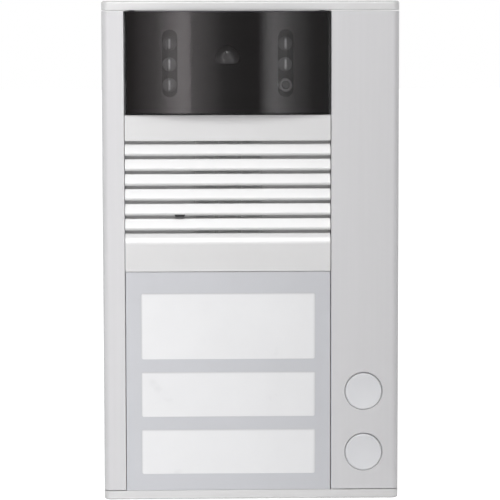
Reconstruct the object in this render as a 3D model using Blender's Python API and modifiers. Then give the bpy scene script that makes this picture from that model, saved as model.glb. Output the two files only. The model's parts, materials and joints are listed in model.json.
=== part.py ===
"""Door intercom panel for an outside wall, as an assembly of separate pieces.

An aluminium profile carries three modules in a recess: a smoked camera window, a louvred speaker
grille and a lit name field. Two call buttons sit in the wide strip beside them. The origin is the
middle of the wall face, +X is to the right as seen from the front, the front faces -Y and +Z is up.
Every size is in metres.
"""

from math import asin, atan2, cos, hypot, pi, radians, sin, sqrt, tan

import bmesh
import bpy
from mathutils import Matrix, Vector

OBJECT = "door_intercom_panel"

# Case
CASE_WIDTH = 0.122
CASE_HEIGHT = 0.206
CASE_DEPTH = 0.034
CASE_WALL = 0.002
EDGE_RADIUS = 0.0026
LIP_EDGE = 0.0003
LEFT_STRIP = 0.0091
RIGHT_STRIP = 0.0280
RECESS_DEPTH = 0.009
FLOOR_WALL = 0.0016
BACK_GAP = 0.0005
CAP_HEIGHT = 0.0038
CAP_EDGE = 0.0010
SPIGOT_LENGTH = 0.0035
SPIGOT_DEPTH = 0.0070
SPIGOT_WALL = 0.0014

# Clearances
FIT = 0.0003
SEAM = 0.0005

# Screws and the ports that they cut into
PORT_INSET = 0.0031
PORT_OUTER = 0.0027
PORT_BORE = 0.0015
PORT_SLOT = 0.0010
SCREW_RADIUS = 0.0012
SCREW_LENGTH = 0.0120
SCREW_HEAD = 0.0024
SCREW_HEAD_HEIGHT = 0.0014
SCREW_SOCKET = 0.0012
LOCK_SETBACK = 0.0060

# Camera window and its inside
WINDOW_HEIGHT = 0.0424
WINDOW_STEP = 0.0010
WINDOW_CROWN = 0.0040
WINDOW_WALL = 0.0022
GASKET_THICKNESS = 0.0010
SHROUD_SETBACK = 0.0020
SHROUD_WALL = 0.0015
LAMP_RADIUS = 0.0025
LAMP_FLANGE = 0.0029
LAMP_FLANGE_HEIGHT = 0.0010
LAMP_PROUD = 0.0004
LAMP_INSET = 0.0092
LAMP_PITCH = 0.0085
LAMP_DROP = 0.0005
SLOT_WIDTH = 0.0066
SLOT_HEIGHT = 0.0280
SENSOR_RADIUS = 0.0027
BOARD = 0.0016
LAMP_BOARD_LAP = 0.00335
LAMP_BOARD_HEIGHT = 0.0340
BOARD_MARGIN = 0.0008

# Camera on its two-axis mount
CAMERA_SETBACK = 0.0090
CAMERA_RISE = 0.0013
BALL_RADIUS = 0.0083
BALL_HALF = 0.0052
BARREL_RADIUS = 0.0056
BARREL_FRONT = 0.0082
GLASS_RADIUS = 0.0047
GLASS_DOME = 0.0011
GLASS_THICKNESS = 0.0030
PIN_RADIUS = 0.0012
RING_GAP = 0.0005
RING_WALL = 0.0022
RING_DEPTH = 0.0050
PIN_LENGTH = 0.0026
SWING_GAP = 0.0007
CRADLE_WALL = 0.0020
CRADLE_FRONT = 0.0040
CARRIER_WALL = 0.0020
CARRIER_HEIGHT = 0.0395
SENSOR_BOARD = 0.0110
SENSOR_BOARD_THICKNESS = 0.0014
CAMERA_APERTURE = 0.0098

# Speaker grille
TOP_BAND = 0.01025
FOOT_BAND = 0.0104
LOUVRE_PITCH = 0.00613
LOUVRE_GAP = 0.0013
LOUVRE_SET = 0.0017
LOUVRE_NOSE = 0.0010
LAST_NOSE = 0.0060
GROOVE_DEPTH = 0.0040
PANEL_WALL = 0.0046
SKIRT_WALL = 0.0018
SOUND_WIDTH = 0.0270
SOUND_RIB = 0.0014
SOUND_BAYS = 3
SOUND_BITE = 0.0005
MESH_LAP = 0.0010
MESH_THICKNESS = 0.0003
MIC_OFFSET = 0.0198
MIC_WIDTH = 0.0041
MIC_HEIGHT = 0.0009
MIC_RADIUS = 0.0030
BOOT_WALL = 0.0013

# Loudspeaker
SPEAKER_RADIUS = 0.0225
SPEAKER_OPENING = 0.0190
SPEAKER_DEPTH = 0.0090
SPEAKER_FLANGE = 0.0012
SPEAKER_SKIN = 0.0010
SPEAKER_NECK = 0.0085
SPEAKER_POLE = 0.0040
CONE_SKIN = 0.0006
CONE_THROAT = 0.0050
FOAM_THICKNESS = 0.0008
MAGNET_RADIUS = 0.0110
MAGNET_HEIGHT = 0.0055

# Name field
NAME_HEIGHT = 0.0906
NAME_SETBACK = 0.0006
NAME_WALL = 0.0008
NAME_TOP_BAR = 0.0090
NAME_BAR = 0.00545
NAME_MARGIN = 0.0060
NAME_CORNER = 0.0010
INFO_LABEL = 0.0273
CALL_LABEL = 0.0185
PANE_LAP = 0.0015
PANE_THICKNESS = 0.0005
CARD_THICKNESS = 0.0003
GUIDE_THICKNESS = 0.0032
TRAY_WALL = 0.0016
TRAY_LEDGE = 0.0026
BACKLIGHT_INSET = 0.0050
CHIP_SIZE = 0.0030
CHIP_HEIGHT = 0.0012

# Call buttons and their switches
BUTTON_INSET = 0.0145
BUTTON_PITCH = 0.0254
BUTTON_RISE = 0.00035
BUTTON_RADIUS = 0.0074
BUTTON_PROUD = 0.0005
BUTTON_DISH = 0.0005
BUTTON_EDGE = 0.0004
BUTTON_TRAVEL = 0.0012
COLLAR_WIDTH = 0.0013
COLLAR_HEIGHT = 0.0012
STEM_RADIUS = 0.0026
SPRING_LENGTH = 0.0039
SPRING_RADIUS = 0.0041
SPRING_WIRE = 0.0006
SPRING_TURNS = 3
GUIDE_WALL = 0.0015
STEM_OVERRUN = 0.0006
PLUNGER_RADIUS = 0.0015
PLUNGER_SPARE = 0.0009
PLUNGER_HOLD = 0.0015
SWITCH_SIZE = 0.0064
SWITCH_HEIGHT = 0.0038
SWITCH_FLOOR = 0.0005

# Wall base and the main board
BASE_WALL = 0.0022
RIM_WALL = 0.0016
RIM_HEIGHT = 0.0070
POST_RADIUS = 0.0026
POST_HEIGHT = 0.0058
PEG_RADIUS = 0.0011
PEG_LENGTH = 0.0030
POST_INSET = 0.0050
FIXING_WIDTH = 0.0040
FIXING_HEIGHT = 0.0100
FIXING_INSET_X = 0.0200
FIXING_INSET_Z = 0.0160
ENTRY_WIDTH = 0.0240
ENTRY_HEIGHT = 0.0140
ENTRY_RISE = 0.0200
GROMMET_LIP = 0.0015
GROMMET_WALL = 0.0012
GROMMET_SKIN = 0.0008
MAIN_BOARD_WIDTH = 0.1040
MAIN_BOARD_HEIGHT = 0.0600
MAIN_BOARD_LIFT = 0.0040
TERMINAL_WIDTH = 0.0320
TERMINAL_HEIGHT = 0.0100
TERMINAL_DEPTH = 0.0095
TERMINAL_WAYS = 6
TERMINAL_LIFT = 0.0080
LEAD_RADIUS = 0.0009

# Turned steps and arc steps
ROUND_STEPS = 32
INNER_STEPS = 24
SMALL_STEPS = 12
ARC_STEPS = 4
COIL_STEPS = 10
LEAD_STEPS = 5

# Colour, roughness and metallic value of each finish
FINISHES = {
    "anodised": ((0.66, 0.66, 0.67), 0.36, 0.9),
    "silver_plastic": ((0.68, 0.69, 0.69), 0.42, 0.0),
    "grey_plastic": ((0.56, 0.57, 0.59), 0.45, 0.0),
    "black_plastic": ((0.012, 0.012, 0.013), 0.5, 0.0),
    "dark_grey": ((0.10, 0.10, 0.11), 0.55, 0.0),
    "white_plastic": ((0.80, 0.80, 0.80), 0.5, 0.0),
    "smoked": ((0.02, 0.018, 0.018), 0.08, 0.0),
    "clear": ((0.85, 0.86, 0.87), 0.1, 0.0),
    "lens": ((0.03, 0.03, 0.05), 0.05, 0.0),
    "card": ((0.82, 0.82, 0.82), 0.8, 0.0),
    "rubber": ((0.02, 0.02, 0.02), 0.8, 0.0),
    "foam": ((0.03, 0.03, 0.03), 0.95, 0.0),
    "steel": ((0.55, 0.55, 0.55), 0.3, 1.0),
    "zinc": ((0.45, 0.46, 0.47), 0.4, 1.0),
    "paper_cone": ((0.05, 0.05, 0.05), 0.9, 0.0),
    "board": ((0.02, 0.16, 0.06), 0.5, 0.0),
    "terminal": ((0.05, 0.22, 0.08), 0.45, 0.0),
    "lead": ((0.35, 0.03, 0.03), 0.5, 0.0),
}

# Places worked out from the sizes above
FRONT = -CASE_DEPTH
BACK = -BACK_GAP
HALF_WIDTH = CASE_WIDTH / 2
CAP_FACE = CASE_HEIGHT / 2 - CAP_HEIGHT
PROFILE_END = CAP_FACE - FIT
RECESS_LEFT = -HALF_WIDTH + LEFT_STRIP
RECESS_RIGHT = HALF_WIDTH - RIGHT_STRIP
INNER_FILLET = EDGE_RADIUS / 2
STRIP_LEFT = RECESS_RIGHT + CASE_WALL + FIT
STRIP_RIGHT = HALF_WIDTH - CASE_WALL - INNER_FILLET
MODULE_X = (RECESS_LEFT + RECESS_RIGHT) / 2
MODULE_HALF = (RECESS_RIGHT - RECESS_LEFT) / 2 - SEAM
FLOOR_FRONT = FRONT + RECESS_DEPTH
FLOOR_BACK = FLOOR_FRONT + FLOOR_WALL
SEAT = FLOOR_FRONT - FIT
WINDOW_TOP = CAP_FACE - SEAM
WINDOW_FOOT = WINDOW_TOP - WINDOW_HEIGHT
WINDOW_Z = (WINDOW_TOP + WINDOW_FOOT) / 2
NAME_FOOT = -CAP_FACE + SEAM
NAME_TOP = NAME_FOOT + NAME_HEIGHT
GRILLE_TOP = WINDOW_FOOT - FIT
GRILLE_FOOT = NAME_TOP + FIT
LOUVRES = int((GRILLE_TOP - GRILLE_FOOT - TOP_BAND - FOOT_BAND) / LOUVRE_PITCH)
CARRIER_FOOT = WINDOW_Z - CARRIER_HEIGHT / 2
LOUVRE_MIDDLE = GRILLE_TOP - TOP_BAND - LOUVRES * LOUVRE_PITCH / 2
SPEAKER_Z = min(LOUVRE_MIDDLE, CARRIER_FOOT - FIT - SPEAKER_RADIUS)
CAMERA_Y = FRONT + CAMERA_SETBACK
CAMERA_Z = WINDOW_Z + CAMERA_RISE
BUTTON_X = HALF_WIDTH - BUTTON_INSET
PORTS = (RECESS_LEFT + PORT_INSET, RECESS_RIGHT - PORT_INSET)
PORT_Y = FLOOR_BACK + PORT_BORE
CARRIER_WIDTH = PORTS[1] - PORTS[0] - 2 * (PORT_OUTER + FIT)
LAMP_BOARD_WIDTH = CARRIER_WIDTH - 2 * LAMP_BOARD_LAP
LAMP_COLUMN = LAMP_BOARD_WIDTH / 2 - LAMP_INSET
RING_INNER = BALL_RADIUS + RING_GAP
RING_OUTER = RING_INNER + RING_WALL
CRADLE_INNER = sqrt(RING_OUTER ** 2 + (RING_DEPTH / 2) ** 2) + SWING_GAP
CRADLE_OUTER = CRADLE_INNER + CRADLE_WALL
CARRIER_FRONT = FLOOR_BACK + FIT
BARREL_BORE = GLASS_RADIUS + FIT
MIC_X = MODULE_X - MIC_OFFSET
BOARD_Y = -BASE_WALL - POST_HEIGHT - FIT
MAIN_FOOT = NAME_FOOT + MAIN_BOARD_LIFT
ENTRY_Z = MAIN_FOOT + MAIN_BOARD_HEIGHT + ENTRY_RISE


def name_windows():
    """Foot and head of each label window, from the top down."""
    head = NAME_TOP - NAME_TOP_BAR
    windows = []
    for height in (INFO_LABEL, CALL_LABEL, CALL_LABEL):
        windows.append((head - height, head))
        head -= height + NAME_BAR
    return windows


def button_heights():
    """Height of each call button, spread evenly about the two call labels."""
    middle = sum(sum(window) for window in name_windows()[1:]) / 4 + BUTTON_RISE
    return (middle + BUTTON_PITCH / 2, middle - BUTTON_PITCH / 2)


# Modelling helpers


def clear_scene():
    for obj in list(bpy.data.objects):
        bpy.data.objects.remove(obj, do_unlink=True)


def new_collection(name):
    group = bpy.data.collections.new(name)
    bpy.context.scene.collection.children.link(group)
    return group


def dress(obj, finish):
    """Give a part its own material and its collection, or make it a cutter when it has no finish."""
    if finish is None:
        CUTTERS.objects.link(obj)
        obj.hide_render = True
        obj.display_type = "WIRE"
        return obj
    colour, roughness, metallic = FINISHES[finish]
    material = bpy.data.materials.new(obj.name)
    material.use_nodes = True
    shader = material.node_tree.nodes["Principled BSDF"]
    shader.inputs["Base Color"].default_value = (*colour, 1.0)
    shader.inputs["Roughness"].default_value = roughness
    shader.inputs["Metallic"].default_value = metallic
    obj.data.materials.append(material)
    PARTS.objects.link(obj)
    return obj


def block(name, low, high, finish=None):
    """A box between two corners."""
    low, high = Vector(low), Vector(high)
    bm = bmesh.new()
    bmesh.ops.create_cube(bm, size=1.0, matrix=Matrix.Diagonal((*(high - low), 1.0)))
    mesh = bpy.data.meshes.new(name)
    bm.to_mesh(mesh)
    bm.free()
    obj = bpy.data.objects.new(name, mesh)
    obj.location = (low + high) / 2
    return dress(obj, finish)


def rod(name, start, end, radius, finish=None, steps=SMALL_STEPS):
    """A round bar between two points."""
    start, end = Vector(start), Vector(end)
    bm = bmesh.new()
    length = (end - start).length
    bmesh.ops.create_cone(
        bm, cap_ends=True, segments=steps, radius1=radius, radius2=radius, depth=length
    )
    mesh = bpy.data.meshes.new(name)
    bm.to_mesh(mesh)
    bm.free()
    obj = bpy.data.objects.new(name, mesh)
    obj.matrix_world = (
        Matrix.Translation((start + end) / 2)
        @ (end - start).to_track_quat("Z", "Y").to_matrix().to_4x4()
    )
    return dress(obj, finish)


def rounded(corners, steps=ARC_STEPS):
    """An outline through corners (u, v, radius), each turned with an arc tangent to its sides."""
    loop = []
    for index, (u, v, radius) in enumerate(corners):
        here = Vector((u, v))
        if radius == 0:
            loop.append((u, v))
            continue
        before = (Vector(corners[index - 1][:2]) - here).normalized()
        after = (Vector(corners[(index + 1) % len(corners)][:2]) - here).normalized()
        half = before.angle(after) / 2
        centre = here + (before + after).normalized() * radius / sin(half)
        arm = here + before * radius / tan(half) - centre
        sweep = arm.angle_signed(here + after * radius / tan(half) - centre)
        for step in range(steps + 1):
            spoke = arm.copy()
            spoke.rotate(Matrix.Rotation(-sweep * step / steps, 2))
            loop.append(tuple(centre + spoke))
    return loop


def rectangle(left, foot, right, head, radius=0.0):
    corners = [(left, foot, radius), (right, foot, radius), (right, head, radius), (left, head, radius)]
    return rounded(corners)


def oblong(u, v, width, height, radius=0.0):
    """A rectangle about its middle."""
    return rectangle(u - width / 2, v - height / 2, u + width / 2, v + height / 2, radius)


def circle(u, v, radius, steps=ROUND_STEPS):
    return [
        (u + radius * cos(2 * pi * step / steps), v + radius * sin(2 * pi * step / steps))
        for step in range(steps)
    ]


# Where the two directions of an outline and its thickness point, for an outline extruded along each axis
PLANES = {
    "X": Matrix(((0, 0, 1), (1, 0, 0), (0, 1, 0))).to_4x4(),
    "Y": Matrix(((1, 0, 0), (0, 0, -1), (0, 1, 0))).to_4x4(),
    "Z": Matrix.Identity(4),
}
AXES = {"X": Vector((1, 0, 0)), "Y": Vector((0, 1, 0)), "Z": Vector((0, 0, 1))}


def as_mesh(obj, finish):
    """Turn a curve object into a welded mesh object in the same place."""
    name, matrix = obj.name, obj.matrix_world.copy()
    bpy.context.scene.collection.objects.link(obj)
    seen = obj.evaluated_get(bpy.context.evaluated_depsgraph_get())
    mesh = bpy.data.meshes.new_from_object(seen)
    bpy.data.objects.remove(obj, do_unlink=True)
    bm = bmesh.new()
    bm.from_mesh(mesh)
    bmesh.ops.remove_doubles(bm, verts=bm.verts, dist=1e-6)
    bmesh.ops.recalc_face_normals(bm, faces=bm.faces)
    bm.to_mesh(mesh)
    bm.free()
    mesh.materials.clear()
    mesh.name = name
    solid = bpy.data.objects.new(name, mesh)
    solid.matrix_world = matrix
    return dress(solid, finish)


def slab(name, loops, axis, start, end, finish=None):
    """Closed outlines, the later ones as holes, extruded along an axis between two places."""
    curve = bpy.data.curves.new(name, "CURVE")
    curve.dimensions = "2D"
    curve.fill_mode = "BOTH"
    curve.extrude = abs(end - start) / 2
    for loop in loops:
        spline = curve.splines.new("POLY")
        spline.points.add(len(loop) - 1)
        for point, (u, v) in zip(spline.points, loop):
            point.co = (u, v, 0.0, 1.0)
        spline.use_cyclic_u = True
    obj = bpy.data.objects.new(name, curve)
    obj.matrix_world = Matrix.Translation(AXES[axis] * (start + end) / 2) @ PLANES[axis]
    return as_mesh(obj, finish)


def turned(name, profile, centre, finish=None, steps=ROUND_STEPS, facing="front", ring=False):
    """A profile of (radius, height) points, listed down its outer side, spun about its axis.

    Heights run towards the front, or upwards or downwards. A ring closes the profile on itself.
    The spin starts half a step round, so that a cross bore meets the middle of a facet.
    """
    bm = bmesh.new()
    start = Matrix.Rotation(pi / steps, 3, "Z")
    points = [bm.verts.new(start @ Vector((radius, 0.0, height))) for radius, height in profile]
    for first, second in zip(points, points[1:]):
        bm.edges.new((first, second))
    if ring:
        bm.edges.new((points[-1], points[0]))
    mesh = bpy.data.meshes.new(name)
    bm.to_mesh(mesh)
    bm.free()
    obj = bpy.data.objects.new(name, mesh)
    obj.location = centre
    obj.rotation_euler = {"front": (pi / 2, 0, 0), "up": (0, 0, 0), "down": (pi, 0, 0)}[facing]
    screw = obj.modifiers.new("turn", "SCREW")
    screw.steps = steps
    screw.render_steps = steps
    screw.use_merge_vertices = True
    screw.merge_threshold = 1e-6
    screw.use_smooth_shade = False
    return dress(obj, finish)


def combine(obj, other, operation):
    tool = obj.modifiers.new(other.name, "BOOLEAN")
    tool.operation = operation
    tool.solver = "EXACT"
    tool.object = other


def cut(obj, *others):
    for other in others:
        combine(obj, other, "DIFFERENCE")


def join(obj, *others):
    for other in others:
        combine(obj, other, "UNION")


def round_rim(obj, direction, radius, segments=2):
    """Round the edges of the one face of a piece that looks furthest along a direction."""
    bm = bmesh.new()
    bm.from_mesh(obj.data)
    reach = max(vert.co.dot(direction) for vert in bm.verts)
    rim = [
        edge
        for edge in bm.edges
        if all(reach - vert.co.dot(direction) < 1e-7 for vert in edge.verts)
        and any(face.normal.dot(direction) < 0.5 for face in edge.link_faces)
    ]
    bmesh.ops.bevel(bm, geom=rim, offset=radius, segments=segments, profile=0.5, affect="EDGES")
    bm.to_mesh(obj.data)
    bm.free()


def hang(axis_name, place, pieces):
    """Parent moving pieces to an empty that stands on their joint axis."""
    axis = bpy.data.objects.new(axis_name, None)
    axis.empty_display_size = BALL_RADIUS
    axis.matrix_world = Matrix.Translation(place)
    PARTS.objects.link(axis)
    bpy.context.view_layer.update()
    for piece in pieces:
        piece.parent = axis
        piece.matrix_parent_inverse = axis.matrix_world.inverted()
    return axis


# Case pieces


def screw_port(x):
    """Outline of a slotted screw port on the back of the recess floor, from left to right."""
    start = asin(-PORT_BORE / PORT_OUTER)
    slot_outer = asin(PORT_SLOT / PORT_OUTER)
    slot_inner = asin(PORT_SLOT / PORT_BORE)
    points = []
    for step in range(ARC_STEPS + 1):
        angle = pi - start + (pi / 2 + slot_outer - pi + start) * step / ARC_STEPS
        points.append((x + PORT_OUTER * cos(angle), PORT_Y + PORT_OUTER * sin(angle)))
    for step in range(2 * ARC_STEPS + 1):
        angle = pi / 2 + slot_inner + (2 * pi - 2 * slot_inner) * step / (2 * ARC_STEPS)
        points.append((x + PORT_BORE * cos(angle), PORT_Y + PORT_BORE * sin(angle)))
    for step in range(ARC_STEPS + 1):
        angle = pi / 2 - slot_outer + (start - pi / 2 + slot_outer) * step / ARC_STEPS
        points.append((x + PORT_OUTER * cos(angle), PORT_Y + PORT_OUTER * sin(angle)))
    return points


def front_profile():
    """One aluminium extrusion: side walls, front strips and the sunk floor that carries the modules."""
    front_in = FRONT + CASE_WALL
    corners = [
        (-HALF_WIDTH, BACK, 0),
        (-HALF_WIDTH, FRONT, EDGE_RADIUS),
        (RECESS_LEFT, FRONT, LIP_EDGE),
        (RECESS_LEFT, FLOOR_FRONT, 0),
        (RECESS_RIGHT, FLOOR_FRONT, 0),
        (RECESS_RIGHT, FRONT, LIP_EDGE),
        (HALF_WIDTH, FRONT, EDGE_RADIUS),
        (HALF_WIDTH, BACK, 0),
        (HALF_WIDTH - CASE_WALL, BACK, 0),
        (HALF_WIDTH - CASE_WALL, front_in, INNER_FILLET),
        (RECESS_RIGHT + CASE_WALL, front_in, 0),
        (RECESS_RIGHT + CASE_WALL, FLOOR_BACK, 0),
    ]
    outline = rounded(corners)
    outline += reversed(screw_port(PORTS[1]))
    outline += reversed(screw_port(PORTS[0]))
    outline += [
        (RECESS_LEFT - CASE_WALL, FLOOR_BACK),
        (RECESS_LEFT - CASE_WALL, front_in),
        (-HALF_WIDTH + CASE_WALL, front_in),
        (-HALF_WIDTH + CASE_WALL, BACK),
    ]
    profile = slab("front_profile", [outline], "Z", -PROFILE_END, PROFILE_END, "anodised")
    lamp_width = LAMP_BOARD_WIDTH + 2 * BOARD_MARGIN
    lamp_height = LAMP_BOARD_HEIGHT + 2 * BOARD_MARGIN
    windows = name_windows()
    light_half = MODULE_HALF - NAME_MARGIN - BACKLIGHT_INSET
    openings = slab(
        "floor_openings",
        [
            oblong(MODULE_X, WINDOW_Z, lamp_width, lamp_height),
            circle(MODULE_X, SPEAKER_Z, SPEAKER_OPENING),
            rectangle(MODULE_X - light_half, windows[2][0], MODULE_X + light_half, windows[0][1]),
        ],
        "Y",
        FLOOR_FRONT - CASE_WALL,
        FLOOR_BACK + CASE_WALL,
    )
    cut(profile, openings)
    for index, height in enumerate(button_heights(), 1):
        hole = rod(
            f"button_hole_{index}",
            (BUTTON_X, FRONT - CASE_WALL, height),
            (BUTTON_X, front_in + CASE_WALL, height),
            BUTTON_RADIUS + FIT,
            steps=ROUND_STEPS,
        )
        cut(profile, hole)


def end_cap(name, side):
    """A moulded cap over one end of the profile, with hollow spigots inside both strips."""
    outer = side * CASE_HEIGHT / 2
    face = side * CAP_FACE
    corners = [
        (-HALF_WIDTH, BACK, 0),
        (-HALF_WIDTH, FRONT, EDGE_RADIUS),
        (HALF_WIDTH, FRONT, EDGE_RADIUS),
        (HALF_WIDTH, BACK, 0),
    ]
    outline = rounded(corners)
    cap = slab(name, [outline], "Z", min(outer, face), max(outer, face), "silver_plastic")
    round_rim(cap, Vector((0, 0, side)), CAP_EDGE)
    front = FRONT + CASE_WALL + FIT
    root = face + side * FIT
    tip = face - side * SPIGOT_LENGTH
    strips = (
        (-HALF_WIDTH + CASE_WALL + FIT, RECESS_LEFT - CASE_WALL - FIT),
        (RECESS_RIGHT + CASE_WALL + FIT, HALF_WIDTH - CASE_WALL - FIT),
    )
    for index, (left, right) in enumerate(strips, 1):
        rim = rectangle(left, front, right, front + SPIGOT_DEPTH, EDGE_RADIUS / 2)
        inner = front + SPIGOT_WALL
        hollow = rectangle(left + SPIGOT_WALL, inner, right - SPIGOT_WALL, front + SPIGOT_DEPTH - SPIGOT_WALL)
        spigot = slab(f"{name}_spigot_{index}", [rim, hollow], "Z", min(root, tip), max(root, tip))
        join(cap, spigot)
    for index, x in enumerate(PORTS, 1):
        cut(cap, *screw_seat(f"{name}_seat_{index}", (x, PORT_Y), side))
    if side < 0:
        cut(cap, *screw_seat(f"{name}_lock_seat", (0.0, -LOCK_SETBACK), side))


def screw_seat(name, place, side):
    """Cutters for a screw's clearance hole and its sunk head."""
    outer = side * CASE_HEIGHT / 2
    sunk = outer - side * (SCREW_HEAD_HEIGHT + FIT)
    inside = side * (CAP_FACE - SPIGOT_LENGTH)
    hole = rod(f"{name}_hole", (*place, inside), (*place, outer), SCREW_RADIUS + FIT)
    sink = rod(f"{name}_sink", (*place, sunk), (*place, outer + side * CAP_EDGE), SCREW_HEAD + FIT)
    return hole, sink


def cap_screw(name, place, side):
    """A pan-head screw through an end cap, with its driver socket."""
    head = CASE_HEIGHT / 2
    under = -SCREW_HEAD_HEIGHT
    profile = [
        (0.0, -SCREW_SOCKET),
        (SCREW_SOCKET, -SCREW_SOCKET),
        (SCREW_SOCKET, 0.0),
        (SCREW_HEAD - SCREW_SOCKET / 4, 0.0),
        (SCREW_HEAD, under / 2),
        (SCREW_HEAD, under),
        (SCREW_RADIUS, under),
        (SCREW_RADIUS, under - SCREW_LENGTH + SCREW_RADIUS),
        (0.0, under - SCREW_LENGTH),
    ]
    facing = "up" if side > 0 else "down"
    turned(name, profile, (*place, side * head), "steel", SMALL_STEPS, facing)


# Camera module


def window_front(x, wall):
    """Depth of the window's bowed front at a distance from its middle line, inside a given wall."""
    bow = (MODULE_HALF ** 2 + WINDOW_CROWN ** 2) / (2 * WINDOW_CROWN)
    drop = bow - WINDOW_CROWN
    return FRONT - WINDOW_STEP - (sqrt((bow - wall) ** 2 - x ** 2) - drop)


def bowed_outline(half, wall, back):
    """Plan of the bowed window: a round front between straight sides."""
    steps = 4 * ARC_STEPS
    front = []
    for step in range(steps + 1):
        x = half * (2 * step / steps - 1)
        front.append((MODULE_X + x, window_front(x, wall)))
    return front + [(MODULE_X + half, back), (MODULE_X - half, back)]


def camera_window():
    """Smoked cover, bowed about an upright axis, open at its back."""
    skirt = SEAT - GASKET_THICKNESS - FIT
    window = slab(
        "camera_window", [bowed_outline(MODULE_HALF, 0.0, skirt)], "Z", WINDOW_FOOT, WINDOW_TOP, "smoked"
    )
    hollow = slab(
        "window_hollow",
        [bowed_outline(MODULE_HALF - WINDOW_WALL, WINDOW_WALL, skirt + WINDOW_WALL)],
        "Z",
        WINDOW_FOOT + WINDOW_WALL,
        WINDOW_TOP - WINDOW_WALL,
    )
    cut(window, hollow)


def module_rectangle(foot, head, inset, radius=0.0):
    """An outline of a module in the recess, drawn in by an inset."""
    return rectangle(
        MODULE_X - MODULE_HALF + inset, foot + inset, MODULE_X + MODULE_HALF - inset, head - inset, radius
    )


def window_gasket():
    loops = [
        module_rectangle(WINDOW_FOOT, WINDOW_TOP, 0.0),
        module_rectangle(WINDOW_FOOT, WINDOW_TOP, WINDOW_WALL),
    ]
    slab("window_gasket", loops, "Y", SEAT - GASKET_THICKNESS, SEAT, "foam")


def lamp_places():
    """Places of the six round lights: two columns of three, from the top left down."""
    columns = (MODULE_X - LAMP_COLUMN, MODULE_X + LAMP_COLUMN)
    middle = WINDOW_Z - LAMP_DROP
    return [(x, middle + row * LAMP_PITCH) for x in columns for row in (1, 0, -1)]


def lamp_shroud():
    """Black inner cover behind the window: two long lamp slots and the camera opening."""
    face = FRONT + SHROUD_SETBACK
    inset = WINDOW_WALL + FIT
    outline = [module_rectangle(WINDOW_FOOT, WINDOW_TOP, inset)]
    shroud = slab("lamp_shroud", outline, "Y", face, SEAT, "black_plastic")
    hollow = slab(
        "shroud_hollow",
        [module_rectangle(WINDOW_FOOT, WINDOW_TOP, inset + SHROUD_WALL)],
        "Y",
        face + SHROUD_WALL,
        SEAT + SHROUD_WALL,
    )
    middle = WINDOW_Z - LAMP_DROP
    loops = [circle(MODULE_X, CAMERA_Z, CAMERA_APERTURE)]
    for x in (MODULE_X - LAMP_COLUMN, MODULE_X + LAMP_COLUMN):
        loops.append(oblong(x, middle, SLOT_WIDTH, SLOT_HEIGHT, SLOT_WIDTH / 2 - FIT))
    slots = slab("shroud_slots", loops, "Y", face - SHROUD_WALL, face + 2 * SHROUD_WALL)
    cut(shroud, hollow, slots)


def lamp_board():
    loops = [
        oblong(MODULE_X, WINDOW_Z, LAMP_BOARD_WIDTH, LAMP_BOARD_HEIGHT),
        circle(MODULE_X, CAMERA_Z, CRADLE_OUTER + BOARD_MARGIN, INNER_STEPS),
    ]
    slab("lamp_board", loops, "Y", FLOOR_BACK - BOARD, FLOOR_BACK, "board")


def lamps():
    """Five round-nosed lamps and one flat-topped light sensor, standing on the lamp board."""
    base = FLOOR_BACK - BOARD - FIT
    tip = FRONT + SHROUD_SETBACK - LAMP_PROUD
    length = base - tip
    straight = length - LAMP_RADIUS
    nose = []
    for step in range(ARC_STEPS + 1):
        angle = pi / 2 * step / ARC_STEPS
        nose.append((LAMP_RADIUS * sin(angle), straight + LAMP_RADIUS * cos(angle)))
    flange = [
        (LAMP_RADIUS, LAMP_FLANGE_HEIGHT),
        (LAMP_FLANGE, LAMP_FLANGE_HEIGHT),
        (LAMP_FLANGE, 0.0),
        (0.0, 0.0),
    ]
    *lamp_spots, sensor_spot = lamp_places()
    for index, (x, z) in enumerate(lamp_spots, 1):
        turned(f"lamp_{index}", nose + flange, (x, base, z), "clear", SMALL_STEPS)
    dip = LAMP_PROUD + FIT
    well = SENSOR_RADIUS * 2 / 3
    sensor = [
        (0.0, length - dip),
        (well, length - dip),
        (well, length),
        (SENSOR_RADIUS, length),
        (SENSOR_RADIUS, 0.0),
        (0.0, 0.0),
    ]
    turned("light_sensor", sensor, (sensor_spot[0], base, sensor_spot[1]), "clear", SMALL_STEPS)


def camera_carrier():
    """Moulded plate behind the recess floor, with the round cradle that holds the camera's pan ring."""
    back = CARRIER_FRONT + CARRIER_WALL
    carrier = slab(
        "camera_carrier",
        [
            oblong(MODULE_X, WINDOW_Z, CARRIER_WIDTH, CARRIER_HEIGHT, CARRIER_WALL),
            circle(MODULE_X, CAMERA_Z, (CRADLE_INNER + CRADLE_OUTER) / 2, INNER_STEPS),
        ],
        "Y",
        CARRIER_FRONT,
        back,
        "black_plastic",
    )
    profile = [
        (CRADLE_INNER, CRADLE_FRONT),
        (CRADLE_OUTER, CRADLE_FRONT),
        (CRADLE_OUTER, CAMERA_Y - back + FIT),
        (CRADLE_INNER, CAMERA_Y - back + FIT),
    ]
    centre = (MODULE_X, CAMERA_Y, CAMERA_Z)
    cradle = turned("camera_cradle", profile, centre, None, INNER_STEPS, ring=True)
    join(carrier, cradle)
    reach = CRADLE_OUTER + CRADLE_WALL
    bore = rod(
        "cradle_pin_bore",
        (MODULE_X, CAMERA_Y, CAMERA_Z - reach),
        (MODULE_X, CAMERA_Y, CAMERA_Z + reach),
        PIN_RADIUS + FIT,
    )
    cut(carrier, bore)


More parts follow.
